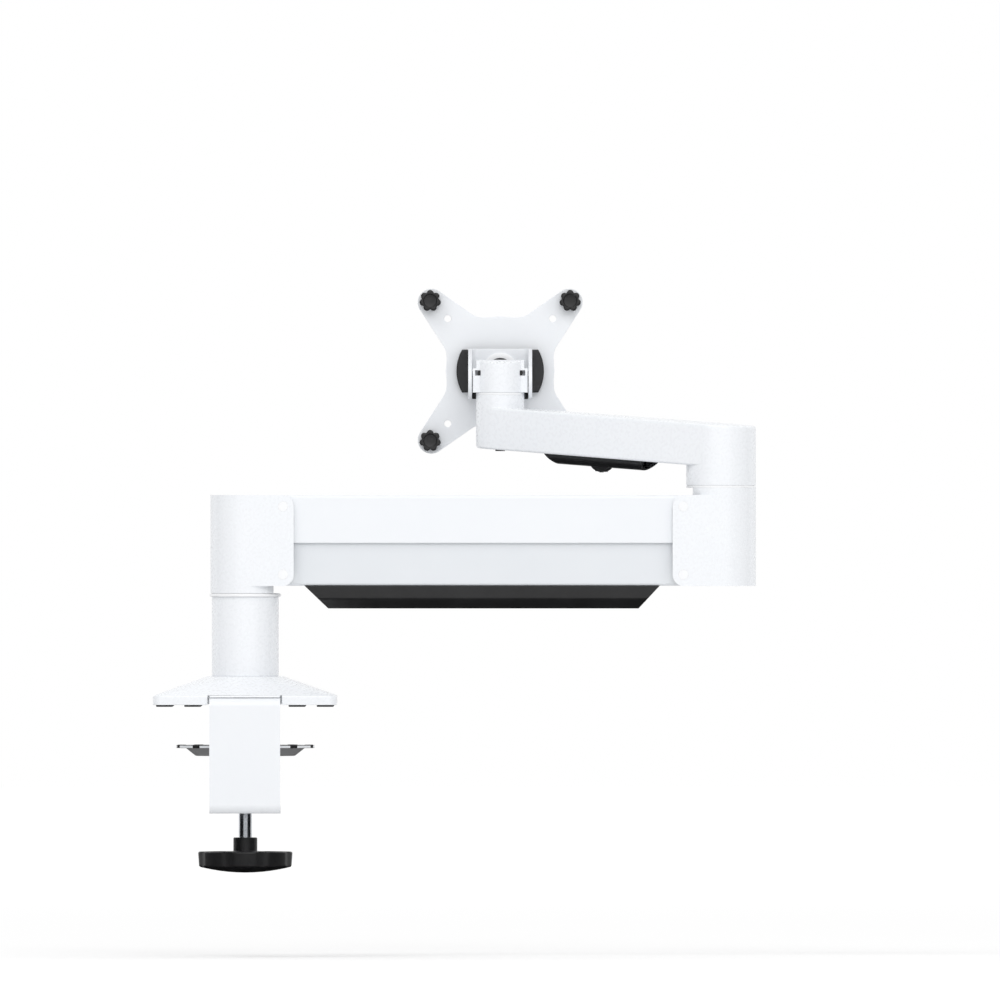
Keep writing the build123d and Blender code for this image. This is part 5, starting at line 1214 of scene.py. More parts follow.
# ---- end caps of the beam
@dataclass
class EndCaps:
    """The two cast end caps of the beam: the same casting, the front one turned over."""

    barrel: float = 24.8
    reach: float = 34.5
    cheek: float = 3.8
    back_wall: float = 15.5
    corner: float = 8.0
    neck: float = 5.1
    neck_flat: float = 20.0
    recess: float = 14.0
    pin_radius: float = 3.5
    plug_depth: float = 1.5
    edge: float = 0.6
    ledge_end: float = 30.6
    ledge_half: float = 5.5
    ledge: float = 3.0
    ledge_drop: float = 5.3
    ledge_rise: float = 14.25
    ledge_hole: float = 3.1
    bush_seat: float = 12.55
    recess_depth: float = 13.3
    nut_half: float = 9.5
    spindle: float = 6.0
    flange: float = 13.4

    def build(self) -> None:
        """Make both castings, their flush plugs and the flange nuts."""
        self.castings()
        self.plugs()
        self.nuts()

    def pivots(self) -> tuple[Vector, Vector]:
        """The rear cap's upper and lower pivots."""
        return joint_place("lift"), joint_place("lower_link_pivot")

    def turned_over(self, mesh: Mesh) -> Mesh:
        """A copy of one of the rear cap's meshes, turned over about the beam's middle for the front cap."""
        low, high = span("rear_end_cap")
        front = mesh.copy()
        move = Matrix.Translation((joint_place("elbow").x, 0, low.z + self.neck + high.z))
        front.transform(move @ Matrix.Rotation(math.pi, 4, "Y"))
        return front

    def casting(self) -> Mesh:
        """The casting on the rear axis, without the rear cap's ledges."""
        low, high = span("rear_end_cap")
        base, top = low.z + self.neck, high.z
        round_back = arc((0, 0), self.barrel, 90, 270, 60)
        inside = self.barrel - self.cheek
        plan = [
            (self.reach, -self.barrel), (self.reach, -inside), (self.back_wall, -inside), (self.back_wall, inside),
            (self.reach, inside), (self.reach, self.barrel), *round_back,
        ]
        body = block(plan, base, top)
        wide = self.barrel + 2
        cuts = [
            block(corner_waste((self.reach, z), self.corner, (1, side)), -wide, wide, facing_back(0.0))
            for z, side in ((top, 1), (base, -1))
        ]
        body = cut(body, *cuts)
        meet = math.degrees(math.acos(self.neck_flat / self.barrel))
        shoulder = arc((0, 0), self.barrel, meet, 90, 16)[:-1]
        neck_plan = [*shoulder, *round_back, *[(x, -y) for x, y in reversed(shoulder)]]
        body = combine(body, "UNION", block(neck_plan, low.z, base))
        foot, over, step = low.z - 1, top + 1, top - self.recess_depth
        narrow, wider = self.bush_seat, self.recess + 0.06
        bore = turned([(0.0, foot), (narrow, foot), (narrow, step), (wider, step), (wider, over), (0.0, over)])
        body = softened(body, self.edge, 35, 3)
        holes = [
            drill(self.pin_radius + 0.03, -wide, wide, facing_back(pivot.y, pivot.x, pivot.z), 64)
            for pivot in self.pivots()
        ]
        return cut(body, bore, *holes)

    def castings(self) -> None:
        """Dress the two castings; the rear one has ledges for the tension screw."""
        rear = self.casting()
        fit(self.turned_over(rear), "elbow_end_casting", Finish.CAST_COAT, "front_end_cap")
        upper, lower = self.pivots()
        start, end, half = self.back_wall - 1, self.ledge_end, self.ledge_half
        outline = rounded([(start, -half), (end, -half), (end, half), (start, half)], [0, 2.0, 2.0, 0])
        hole = circle(self.ledge_hole, (upper.x, 0.0), 32)
        ledges = [
            plate([outline, hole], floor, floor + self.ledge, level(), 0.4)
            for floor in (upper.z - self.ledge_drop, lower.z + self.ledge_rise)
        ]
        fit(joined(rear, *ledges), "shoulder_end_casting", Finish.CAST_COAT, "rear_end_cap")

    def plugs(self) -> None:
        """Flush discs in the coat's colour over the nut recess and the pins."""
        top = span("rear_end_cap")[1].z
        parts = [turned(ring(0.0, self.recess, top - self.plug_depth, top, 0.12), steps=96)]
        for pivot in self.pivots():
            for side, start in ((-1, -self.plug_depth), (1, 0.0)):
                face = facing_back(side * self.barrel, pivot.x, pivot.z)
                parts.append(turned(ring(0.0, self.pin_radius, start, start + self.plug_depth, 0.12), face, 48))
        rear = joined(*parts)
        front = self.turned_over(rear)
        fit(rear, "shoulder_flush_plugs", Finish.WHITE_ACETAL, "rear_plugs")
        fit(front, "elbow_flush_plugs", Finish.WHITE_ACETAL, "front_plugs")

    def nuts(self) -> None:
        """The flanged hexagon nuts under the plugs, the same way over as their caps."""
        seat = span("shoulder_nut")[0].z
        flange = turned(ring(self.spindle, self.flange, seat, seat + 1.5, 0.3), steps=64)
        body = block(hexagon(self.nut_half), seat + 1.4, seat + 9.5)
        body = softened(cut(body, drill(self.spindle, seat, seat + 12)), 0.4, 30)
        rear = joined(flange, body)
        front = self.turned_over(rear)
        fit(rear, "shoulder_flange_nut", Finish.ZINC, "shoulder_nut")
        fit(front, "elbow_flange_nut", Finish.ZINC, "elbow_nut")


# ---- the beam's links
@dataclass
class BeamLinks:
    """The two folded channels of the parallelogram and the cable tray under them."""

    sheet: float = 2.2
    nose: float = 7.9
    upper_half: float = 20.3
    lower_half: float = 17.3
    knee: Point = (-7.9, 7.106)
    upper_toe: Point = (6.862, 26.0)
    lower_toe: Point = (5.299, 24.0)
    fold: float = 1.9
    web_setback: float = 6.0
    bush: float = 4.7
    tray_height: float = 16.2
    tray_upright: float = 9.6
    tray_bottom_half: float = 11.0
    tray_sheet: float = 1.8
    tray_rear_slant: float = 1.04
    tray_front_slant: float = 0.93
    tray_over: float = 2.0
    hook_ends: Point = (47.9, 49.5)
    hook_row: float = 11.0
    lug_starts: Point = (-8.3, 5.3)
    lug_sheet: float = 3.0
    lug_radius: float = 6.0
    lug_foot: float = 9.0
    lug_hole: float = 3.0

    def build(self) -> None:
        """Make both channels and the tray."""
        self.upper_channel()
        self.lower_channel()
        self.tray()

    def pivots(self, which: str) -> tuple[Vector, Vector]:
        """A channel's rear and front pivots."""
        rear = joint_place("lift" if which == "upper" else "lower_link_pivot")
        front = rear.copy()
        front.x = joint_place("front_level").x
        return rear, front

    def channel(self, which: str, half: float, toe: Point, up: int) -> Mesh:
        """One folded channel with its rounded noses.

        Args:
            which: "upper" or "lower".
            half: Half its width outside.
            toe: Where the walls' free edge ends, from the pivot.
            up: 1 with the web on top, -1 with the web underneath.

        Returns:
            The channel, without the cuts in its web.
        """
        rear, front = self.pivots(which)
        web, free = rear.z + up * self.nose, rear.z - up * toe[1]
        inner = half - self.sheet
        section = rounded(
            [(-half, free), (-half, web), (half, web), (half, free), (inner, free), (inner, web - up * self.sheet),
             (-inner, web - up * self.sheet), (-inner, free)],
            [0.4, self.fold, self.fold, 0.4, 0.4, 0.6, 0.6, 0.4], 6,
        )
        bar = block(section, rear.x - 12, front.x + 12, facing_side(0.0))
        side = [(rear.x + x, rear.z + up * z) for x, z in arc((0, 0), self.nose, 90, 180)]
        side += [(rear.x + x, rear.z - up * z) for x, z in (self.knee, toe)]
        side += [(rear.x + front.x - x, z) for x, z in reversed(side)]
        shape = block(side, -half - 5, half + 5, facing_back(0.0))
        return combine(bar, "INTERSECT", shape)

    def bores(self, which: str) -> list[Mesh]:
        """Cutters for the bush holes through a channel's walls."""
        return [drill(self.bush, -30, 30, facing_back(0.0, pivot.x, pivot.z)) for pivot in self.pivots(which)]

    def upper_channel(self) -> None:
        """The upper channel, its web cut back at both ends, with the lugs for the spring's eye."""
        rear, front = self.pivots("upper")
        body = self.channel("upper", self.upper_half, self.upper_toe, 1)
        inner = self.upper_half - self.sheet
        for start, end in ((rear.x - 20, rear.x + self.web_setback), (front.x - self.web_setback, front.x + 20)):
            notch = rectangle((start, -inner), (end, inner), 1.5)
            body = cut(body, block(notch, rear.z, rear.z + 12))
        body = softened(cut(body, *self.bores("upper")), 0.35, 35)
        x, _, z = middle("cylinder_pin")
        under = rear.z + self.nose - self.sheet + 0.5
        lug = hull(circle(self.lug_radius, (x, z), 48) + [(x - self.lug_foot, under), (x + self.lug_foot, under)])
        hole = circle(self.lug_hole, (x, z), 32)
        lugs = [plate([lug, hole], y, y + self.lug_sheet, facing_back(0.0), 0.35) for y in self.lug_starts]
        fit(joined(body, *lugs), "beam_upper_channel", Finish.WHITE_COAT, "upper_channel")

    def lower_channel(self) -> None:
        """The lower channel, slotted for the tray's hooks."""
        rear, front = self.pivots("lower")
        body = self.channel("lower", self.lower_half, self.lower_toe, -1)
        inner = self.lower_half - self.sheet
        base = rear.z - self.nose
        for start, end in ((rear.x - 20, rear.x), (front.x, front.x + 20)):
            body = cut(body, block(rectangle((start, -inner), (end, inner), 1.5), base - 2, rear.z))
        slots = [
            block(rectangle((x - 4.3, y - 1.5), (x + 4.3, y + 1.5), 0.6), base - 2, base + 4)
            for x, y in self.hook_places()
        ]
        body = softened(cut(body, *slots, *self.bores("lower")), 0.35, 35)
        fit(body, "beam_lower_channel", Finish.PALE_COAT, "lower_channel")

    def hook_places(self) -> list[Point]:
        """Where the tray's four hooks stand."""
        low, high = span("cable_tray")
        columns = (low.x + self.hook_ends[0], high.x - self.hook_ends[1])
        return [(x, y) for x in columns for y in (-self.hook_row, self.hook_row)]

    def tray(self) -> None:
        """The moulded tray: upright sides, bevelled floor, slanted open ends, and its hooks."""
        low, high = span("cable_tray")
        top = span("lower_channel")[0].z
        half, wall, knee = self.lower_half, self.tray_sheet, top - self.tray_upright
        base, flat = top - self.tray_height, self.tray_bottom_half
        lift, inside = knee + wall * 0.4, flat - wall * 0.4
        corners = [
            (-half, top), (-half, knee), (-flat, base), (flat, base), (half, knee), (half, top), (half - wall, top),
            (half - wall, lift), (inside, base + wall), (-inside, base + wall), (wall - half, lift), (wall - half, top),
        ]
        radii = [0.4, 3.0, 3.0, 3.0, 3.0, 0.4, 0.4, 1.2, 1.2, 1.2, 1.2, 0.4]
        bar = block(rounded(corners, radii, 6), low.x - 5, high.x + 5, facing_side(0.0))
        rise, fall = self.tray_over, self.tray_height + self.tray_over
        side = [
            (low.x - rise * self.tray_rear_slant, top + rise), (low.x + fall * self.tray_rear_slant, top - fall),
            (high.x - fall * self.tray_front_slant, top - fall), (high.x + rise * self.tray_front_slant, top + rise),
        ]
        body = combine(bar, "INTERSECT", block(side, -half - 5, half + 5, facing_back(0.0)))
        parts = [softened(body, 0.35, 35)]
        foot = high.z - 1.4
        for x, y in self.hook_places():
            stem = rectangle((x - 4.0, y - 1.0), (x + 4.0, y + 1.0), 0.3)
            parts.append(plate([stem], base + wall / 2, high.z - 1.0, level(), 0.2))
            barb = [(-1.0, foot), (1.0, foot), (2.0, foot), (1.0, high.z), (-1.0, high.z), (-2.0, foot)]
            parts.append(block([(y + out, z) for out, z in barb], x - 4.0, x + 4.0, facing_side(0.0)))
        fit(joined(*parts), "beam_cable_tray", Finish.BLACK_NYLON, "cable_tray")


# ---- gas spring and tension screw
@dataclass
class GasSpring:
    """The gas spring inside the beam and the screw that sets its pull."""

    cylinder: float = 11.0
    wall: float = 1.5
    length: float = 170.0
    tail: float = 4.0
    eye_bore: float = 3.0
    eye: float = 7.0
    eye_half: float = 5.0
    screw: float = 3.0
    screw_head: float = 4.2
    screw_socket: float = 2.65
    knurls: int = 96
    knurl_depth: float = 0.14

    def build(self) -> None:
        """Make the cylinder, its gland and the tension screw."""
        self.tube()
        self.tension_screw()

    def tube(self) -> None:
        """The drawn cylinder: rolled over at the gland, closed and fitted with its eye at the other end."""
        axis = Place((span("gas_cylinder")[0].x, 0.0, middle("gas_rod")[2]), (0, 1, 0), (0, 0, 1))
        outer, length = self.cylinder, self.length
        inner, neck = outer - self.wall, outer - 0.5
        lip = inner - 1.2
        profile = rounded(
            [(lip, 0.0), (outer, 0.0), (outer, 5.0), (neck, 6.0), (neck, 7.2), (outer, 8.2), (outer, length),
             (0.0, length), (0.0, length - 8), (inner, length - 8), (inner, 2.0), (lip, 2.0)],
            [0.3, 1.2, 0.5, 0.5, 0.5, 0.5, 2.5, 0, 0, 1.0, 0.5, 0.3], 4,
        )
        body = turned(profile, axis, 96)
        tail = turned(ring(0.0, self.tail, length - 1, length + 8, 0.3), axis, 48)
        x, _, z = middle("cylinder_pin")
        eye = turned(ring(self.eye_bore, self.eye, -self.eye_half, self.eye_half, 0.6), facing_back(0.0, x, z), 64)
        fit(joined(body, tail, eye), "spring_drawn_cylinder", Finish.BLACK_STOVED, "gas_cylinder")

    def tension_screw(self) -> None:
        """A socket screw with a knurled head, threaded through the trunnion nut."""
        low, high = span("tension_screw")
        place = level(0.0, middle("tension_screw")[0], 0.0)
        head = high.z - 4.4

        def knurl(angle: float, radius: float) -> float:
            """Straight knurling on the head's side only."""
            on_side = radius > self.screw_head - 0.05
            return radius - (self.knurl_depth if on_side and round(angle / (2 * math.pi) * self.knurls) % 2 else 0.0)

        cap = turned(ring(0.0, self.screw_head, head, high.z, 0.4), place, self.knurls, knurl)
        cap = cut(cap, block(circle(self.screw_socket, place.origin[:2], 6), head + 1.6, high.z + 1))
        shank = thread(self.screw, 0.4, 1.0, low.z, head + 0.1, place)
        collar = turned(ring(2.4, self.screw_head, low.z + 1, low.z + 2.7, 0.3), place, 48)
        fit(joined(cap, shank, collar), "spring_tension_screw", Finish.BLACK_OXIDE, "tension_screw")


# ---- extension arm
@dataclass
class ExtensionArm:
    """The cast arm from the elbow to the wrist, with its washers and the cable clip under it."""

    length: float = 180.0
    heading: float = 150.7
    elbow_radius: float = 24.75
    wrist_radius: float = 17.2
    thickness: float = 30.1
    edge: float = 1.8
    slope: float = 3.9
    rise_to_arm: float = 13.45
    pocket: Point = (35.0, 150.0)
    pocket_half: float = 9.0
    pocket_corner: float = 5.0
    pocket_depth: float = 18.0
    clip_half: float = 41.0
    clip_side: float = 11.4
    clip_depth: float = 7.1
    clip_shoulder: float = 5.0
    clip_wall: float = 1.5
    clip_slant: float = 6.2
    clip_centre: float = 97.2
    prong: float = 26.0
    tab: Point = (8.4, 4.9)
    tab_half: float = 3.0
    grips: tuple[float, ...] = (-3.4, 0.0, 3.4)
    elbow_bore: float = 10.0
    wrist_bore: float = 9.7

    def build(self) -> None:
        """Make the casting, the washers and the clip."""
        self.casting()
        for joint, bore in (("elbow", 10.3), ("wrist", 8.3)):
            name = f"{joint}_acetal_ring"
            LippedRing(f"{joint}_washer", name, bore, 0.2, 0.2, (0.4, 0.6), (2.6, 3.0), 120).build()
        self.clip()

    def under(self) -> float:
        """The height of the arm's underside on the elbow axis."""
        return span("extension_arm")[0].z + self.rise_to_arm

    def plan(self, z: float) -> Place:
        """A level plane whose first axis runs from the elbow to the wrist."""
        elbow = joint_place("elbow")
        turn = math.radians(self.heading)
        across, up = (math.cos(turn), math.sin(turn), 0), (-math.sin(turn), math.cos(turn), 0)
        return Place((elbow.x, elbow.y, z), across, up)

    def sloped(self, mesh: Mesh) -> Mesh:
        """Shear a mesh drawn level in the arm's own plan, so that it rises towards the wrist."""
        rise = math.tan(math.radians(self.slope))
        for vertex in mesh.vertices:
            vertex.co.z += rise * vertex.co.x
        return mesh

    def casting(self) -> None:
        """The arm: two rounds joined by straight sides, its edges rounded, with a cable pocket underneath."""
        low, high = span("extension_arm")
        under = self.under()
        rise = math.tan(math.radians(self.slope)) * self.length
        outline = hull(circle(self.elbow_radius, steps=120) + circle(self.wrist_radius, (self.length, 0.0), 120))
        body = plate([outline], 0.0, self.thickness, Place(), self.edge, 4)
        pocket = rectangle((self.pocket[0], -self.pocket_half), (self.pocket[1], self.pocket_half), self.pocket_corner)
        body = self.sloped(body)
        body = cut(body, block(pocket, -5.0, self.pocket_depth + 3))
        end = Place((self.length, 0, 0))
        body = cut(body, drill(self.wrist_bore - 0.1, -5.0, rise + 5.08, end, 64))
        barrel = turned(ring(self.elbow_bore, self.elbow_radius + 0.02, low.z - under, 12.0, 0.2), steps=144)
        wrist = turned(ring(self.wrist_bore, self.wrist_radius + 0.02, rise + 2.5, high.z - under, 0.5), end, 120)
        mesh = joined(softened(body, 0.4, 60), barrel, wrist)
        mesh.transform(self.plan(under).matrix())
        fit(mesh, "arm_casting", Finish.CAST_COAT, "extension_arm")

    def clip_outline(self, inset: float) -> Outline:
        """The clip's oval section from one lip round to the other, as side and depth."""
        half, depth, side = self.clip_side - inset, self.clip_depth - inset, self.clip_shoulder - inset
        centre = half - side
        bottom = (centre**2 + depth**2 - side**2) / (2 * (depth - side))
        end = math.degrees(math.atan2(bottom - depth, centre))
        curve = arc((centre, 0.0), side, 0, end, 10)
        sweep = arc((0.0, depth - bottom), bottom, end, 180 - end, 18)[1:-1]
        return [*curve, *sweep, *[(-x, v) for x, v in reversed(curve)]]

    def clip(self) -> None:
        """The black trough that snaps under the arm, its ends cut back, with a thumb tab."""
        under = self.under() - 0.1
        rise = math.tan(math.radians(self.slope))
        outer, inner = self.clip_outline(0.0), self.clip_outline(self.clip_wall)
        rings = []
        for share in (-1.0, -0.994, -0.5, 0.0, 0.5, 0.994, 1.0):
            # the wall is a little thinner at its very ends, as if their edges were rounded
            thin = 0.25 / self.clip_side if abs(share) == 1.0 else 0.0
            row = []
            for outline, scale in ((outer, 1 - thin), (inner[::-1], 1 + thin)):
                for side, depth in outline:
                    along = self.clip_centre + share * (self.clip_half - self.clip_slant * depth / self.clip_depth)
                    row.append(Vector((along, side * scale, -depth * scale + rise * along)))
            rings.append(row)
        trough = skin(rings)
        deep = self.clip_depth - self.clip_wall
        half, drop = self.tab
        radius = (half**2 + drop**2) / (2 * drop)
        angle = math.degrees(math.asin(half / radius))
        bow = arc((0.0, -deep - drop + radius), radius, 270 - angle, 270 + angle, 16)
        tab_place = Place((self.clip_centre, 0.0, rise * self.clip_centre), (1, 0, rise), (0, 0, 1))
        tab = plate([[*bow, (half, -deep + 0.8), (-half, -deep + 0.8)]], -self.tab_half, self.tab_half, tab_place, 0.7)
        parts = [trough, tab]
        for offset in self.grips:
            reach = math.sqrt(radius**2 - offset**2) - radius
            grip = rectangle((offset - 0.5, -deep - drop - reach - 0.35), (offset + 0.5, -deep - 1.0), 0.3)
            parts.append(plate([grip], -2.6, 2.6, tab_place, 0.25))
        for y in (1.3 - self.pocket_half, self.pocket_half - 1.3):
            for along in (self.clip_centre - self.prong, self.clip_centre + self.prong):
                stem = rectangle((along - 5.0, y - 1.0), (along + 5.0, y + 1.0), 0.4)
                parts.append(plate([stem], rise * along - 2.0, rise * along + 6.5, Place(), 0.3))
        mesh = joined(*parts)
        mesh.transform(self.plan(under).matrix())
        fit(mesh, "arm_cable_clip", Finish.BLACK_NYLON, "cable_clip")


# ---- tilt head
@dataclass
class TiltHead:
    """The block on the wrist, the folded yoke that tilts on it and the disc that the plate turns on."""

    block_half: float = 19.6
    shoulder_half: float = 17.0
    shoulder: float = 17.2
    depth_half: float = 9.0
    round_radius: float = 17.2
    dome: float = 49.0
    pocket_x: float = 15.9
    pocket_size: Point = (4.0, 3.8)
    pocket_rise: float = 13.9
    pocket_depth: float = 6.0
    sheet: float = 2.6
    ear_inner: float = 20.2
    ear_nose: float = 12.0
    bend: float = 3.5
    web_reach: float = 32.0
    disc_flat: float = 15.35
    disc_radius: float = 31.25
    axle: float = 4.0
    axle_socket: float = 2.3
    bolt: float = 5.0
    bolt_head: float = 8.8
    bolt_socket: float = 3.2
    nut_flange: float = 9.4
    nut_half: float = 8.0

    def build(self) -> None:
        """Make the block, the yoke with its axle and stop, the disc and the pivot's bolt and washer."""
        self.block_casting()
        self.yoke()
        self.axle_pin()
        self.stop()
        self.disc()
        self.pivot()

    def block_casting(self) -> None:
        """The cast block: a round body with two shoulders, a domed top and a square pocket on each side, each pocket's
        inner half darkened by a black piece as painted shade.
        """
        low, high = span("tilt_block")
        at = joint_place("wrist")
        shoulder, deep = low.z + self.shoulder, self.depth_half
        start = math.degrees(math.asin(deep / self.round_radius))
        front = arc((0, 0), self.round_radius, start, 180 - start, 40)
        rear = arc((0, 0), self.round_radius, 180 + start, 360 - start, 40)
        wide, slim = (
            [(half, -deep), (half, deep), *front, (-half, deep), (-half, -deep), *rear]
            for half in (self.block_half, self.shoulder_half)
        )
        body = combine(block(wide, low.z, shoulder), "UNION", block(slim, shoulder, high.z + 3))
        crown = block(circle(self.dome, (0.0, high.z - self.dome), 240), -30, 30, facing_side(0.0))
        body = combine(body, "INTERSECT", crown)
        cuts, pocket_shades = [], []
        pocket = low.z + self.pocket_rise
        across, tall = self.pocket_size
        for side in (-1, 1):
            x, inner = side * self.pocket_x, side * (self.pocket_x - 0.95)
            outline = rectangle((x - across / 2, pocket - tall / 2), (x + across / 2, pocket + tall / 2), 0.4)
            cuts.append(block(outline, deep - self.pocket_depth, deep + 2, facing_back(0.0)))
            # a black piece in the pocket's inner half: painted shade for the dark deep in the pocket
            outline = rectangle((inner - 0.95, pocket - 1.8), (inner + 0.95, pocket + 1.8), 0.3)
            pocket_shades.append(plate([outline], deep - 2.6, deep - 0.5, facing_back(0.0), 0.2))
        casting = softened(cut(body, *cuts), 0.5, 35, 3)
        pocket_shade_pair = joined(*pocket_shades)
        for mesh in (casting, pocket_shade_pair):
            mesh.transform(Matrix.Translation((at.x, at.y, 0)))
        fit(casting, "tilt_block_casting", Finish.CAST_COAT, "tilt_block")
        # the pockets' painted shade rides on the block
        fit(pocket_shade_pair, "tilt_pocket_painted_shade", Finish.BLACK_NYLON, on="tilt_block")

    def yoke(self) -> None:
        """The folded yoke: two ears, a web across their back and the rounded folds between."""
        low, high = span("tilt_bracket")
        at, axle = joint_place("wrist"), joint_place("tilt").z
        inner, outer = self.ear_inner, self.ear_inner + self.sheet
        start, web = at.y - self.ear_nose, at.y + self.web_reach
        back, fold = web + self.sheet, self.bend + self.sheet
        plan = rounded(
            [(-outer, start), (-inner, start), (-inner, web), (inner, web), (inner, start), (outer, start),
             (outer, back), (-outer, back)],
            [0, 0, self.bend, self.bend, 0, 0, fold, fold], 10,
        )
        body = block(plan, low.z, high.z)
        ear = hull(
            circle(self.ear_nose, (at.y, axle), 96)
            + [(web - 8, low.z), (back + 5, low.z), (back + 5, high.z), (web - 8, high.z)]
        )
        body = combine(body, "INTERSECT", block(ear, -outer - 3, outer + 3, facing_side(0.0)))
        bore = drill(self.axle + 0.06, -outer - 3, outer + 3, facing_side(0.0, at.y, axle))
        hole = drill(self.bolt, -6, 6, facing_back(web, 0.0, joint_place("plate_turn").z))
        body = softened(cut(body, bore, hole), 0.4, 35, 3)
        body.transform(Matrix.Translation((at.x, 0, 0)))
        fit(body, "tilt_folded_yoke", Finish.WHITE_COAT, "tilt_bracket")

    def axle_pin(self) -> None:
        """The tilt axle, with a hexagon socket in each end."""
        low, high = span("tilt_axle")
        at, half = joint_place("wrist"), (high.x - low.x) / 2
        axis = facing_side(at.x, at.y, joint_place("tilt").z)
        body = turned(ring(0.0, self.axle, -half, half, 0.4), axis, 64)
        sockets = [block(circle(self.axle_socket, steps=6), end - 2.0, end + 2.0, axis) for end in (-half, half)]
        fit(cut(body, *sockets), "tilt_socket_axle", Finish.BLACK_OXIDE, "tilt_axle")

    def stop(self) -> None:
        """The rubber stop across the yoke's lower edge."""
        low, high = span("tilt_stop")
        corners = [(low.x, low.y), (high.x, low.y), (high.x, high.y), (low.x, high.y)]
        outline = rounded(corners, [0.6, 0.6, self.bend - 0.2, self.bend - 0.2], 8)
        fit(plate([outline], low.z, high.z, level(), 0.4), "tilt_rubber_stop", Finish.RUBBER, "tilt_stop")

    def disc(self) -> None:
        """The moulded friction disc, its top and bottom cut flat and its edges rounded."""
        low, high = span("friction_disc")
        x, _, z = middle("friction_disc")
        turn = math.degrees(math.asin(self.disc_flat / self.disc_radius))
        outline = [
            point for start, end in ((-turn, turn), (180 - turn, 180 + turn))
            for point in arc((0, 0), self.disc_radius, start, end, 24)
        ]
        hole = circle(self.bolt, steps=48)
        body = plate([outline, hole], 0.0, high.y - low.y, facing_back(high.y, x, z), 0.8, 3)
        fit(body, "pivot_friction_disc", Finish.BLACK_NYLON, "friction_disc")

    def pivot(self) -> None:
        """The white washer and the flanged nut inside the yoke, and the flat head under the plate."""
        x, _, z = middle("pivot_washer")
        washer_low, washer_high = span("pivot_washer")
        low, high = span("pivot_bolt")
        inside, outside = facing_back(washer_low.y, x, z), facing_back(high.y, x, z)
        bolt, bore = self.bolt, self.bolt - 0.1
        washer = turned(
            [(bolt, 0.0), (12.7, 0.0), (13.0, 0.3), (13.0, 0.8), (12.2, 1.25), (9.6, 1.5), (bolt, 1.5)],
            facing_back(washer_high.y, x, z), 96,
        )
        fit(washer, "pivot_acetal_washer", Finish.WHITE_ACETAL, "pivot_washer")
        flange = turned(ring(bore, self.nut_flange, 0.0, 1.5, 0.4), inside, 64)
        crown = turned([(0.0, 0.0), (11.0, 0.0), (11.0, 5.6), (8.0, 7.0), (0.0, 7.0)], inside, 64)
        nut = combine(block(hexagon(self.nut_half), 1.4, 7.0, inside), "INTERSECT", crown)
        nut = softened(cut(nut, drill(bore, 0.0, 9.0, inside)), 0.25, 30)
        shank = thread(bolt, 0.45, 1.25, -8.0, washer_low.y - low.y, inside)
        plain_end = high.y - 1.2
        plain = turned(ring(0.0, bolt, 0.0, plain_end - washer_low.y, 0.2), facing_back(plain_end, x, z), 48)
        head = turned(ring(0.0, self.bolt_head, 0.0, 1.4, 0.3), outside, 64)
        head = cut(head, block(circle(self.bolt_socket, steps=6), -1.0, 1.0, outside))
        fit(joined(flange, nut, shank, plain, head), "pivot_bolt_and_nut", Finish.BLACK_OXIDE, "pivot_bolt")


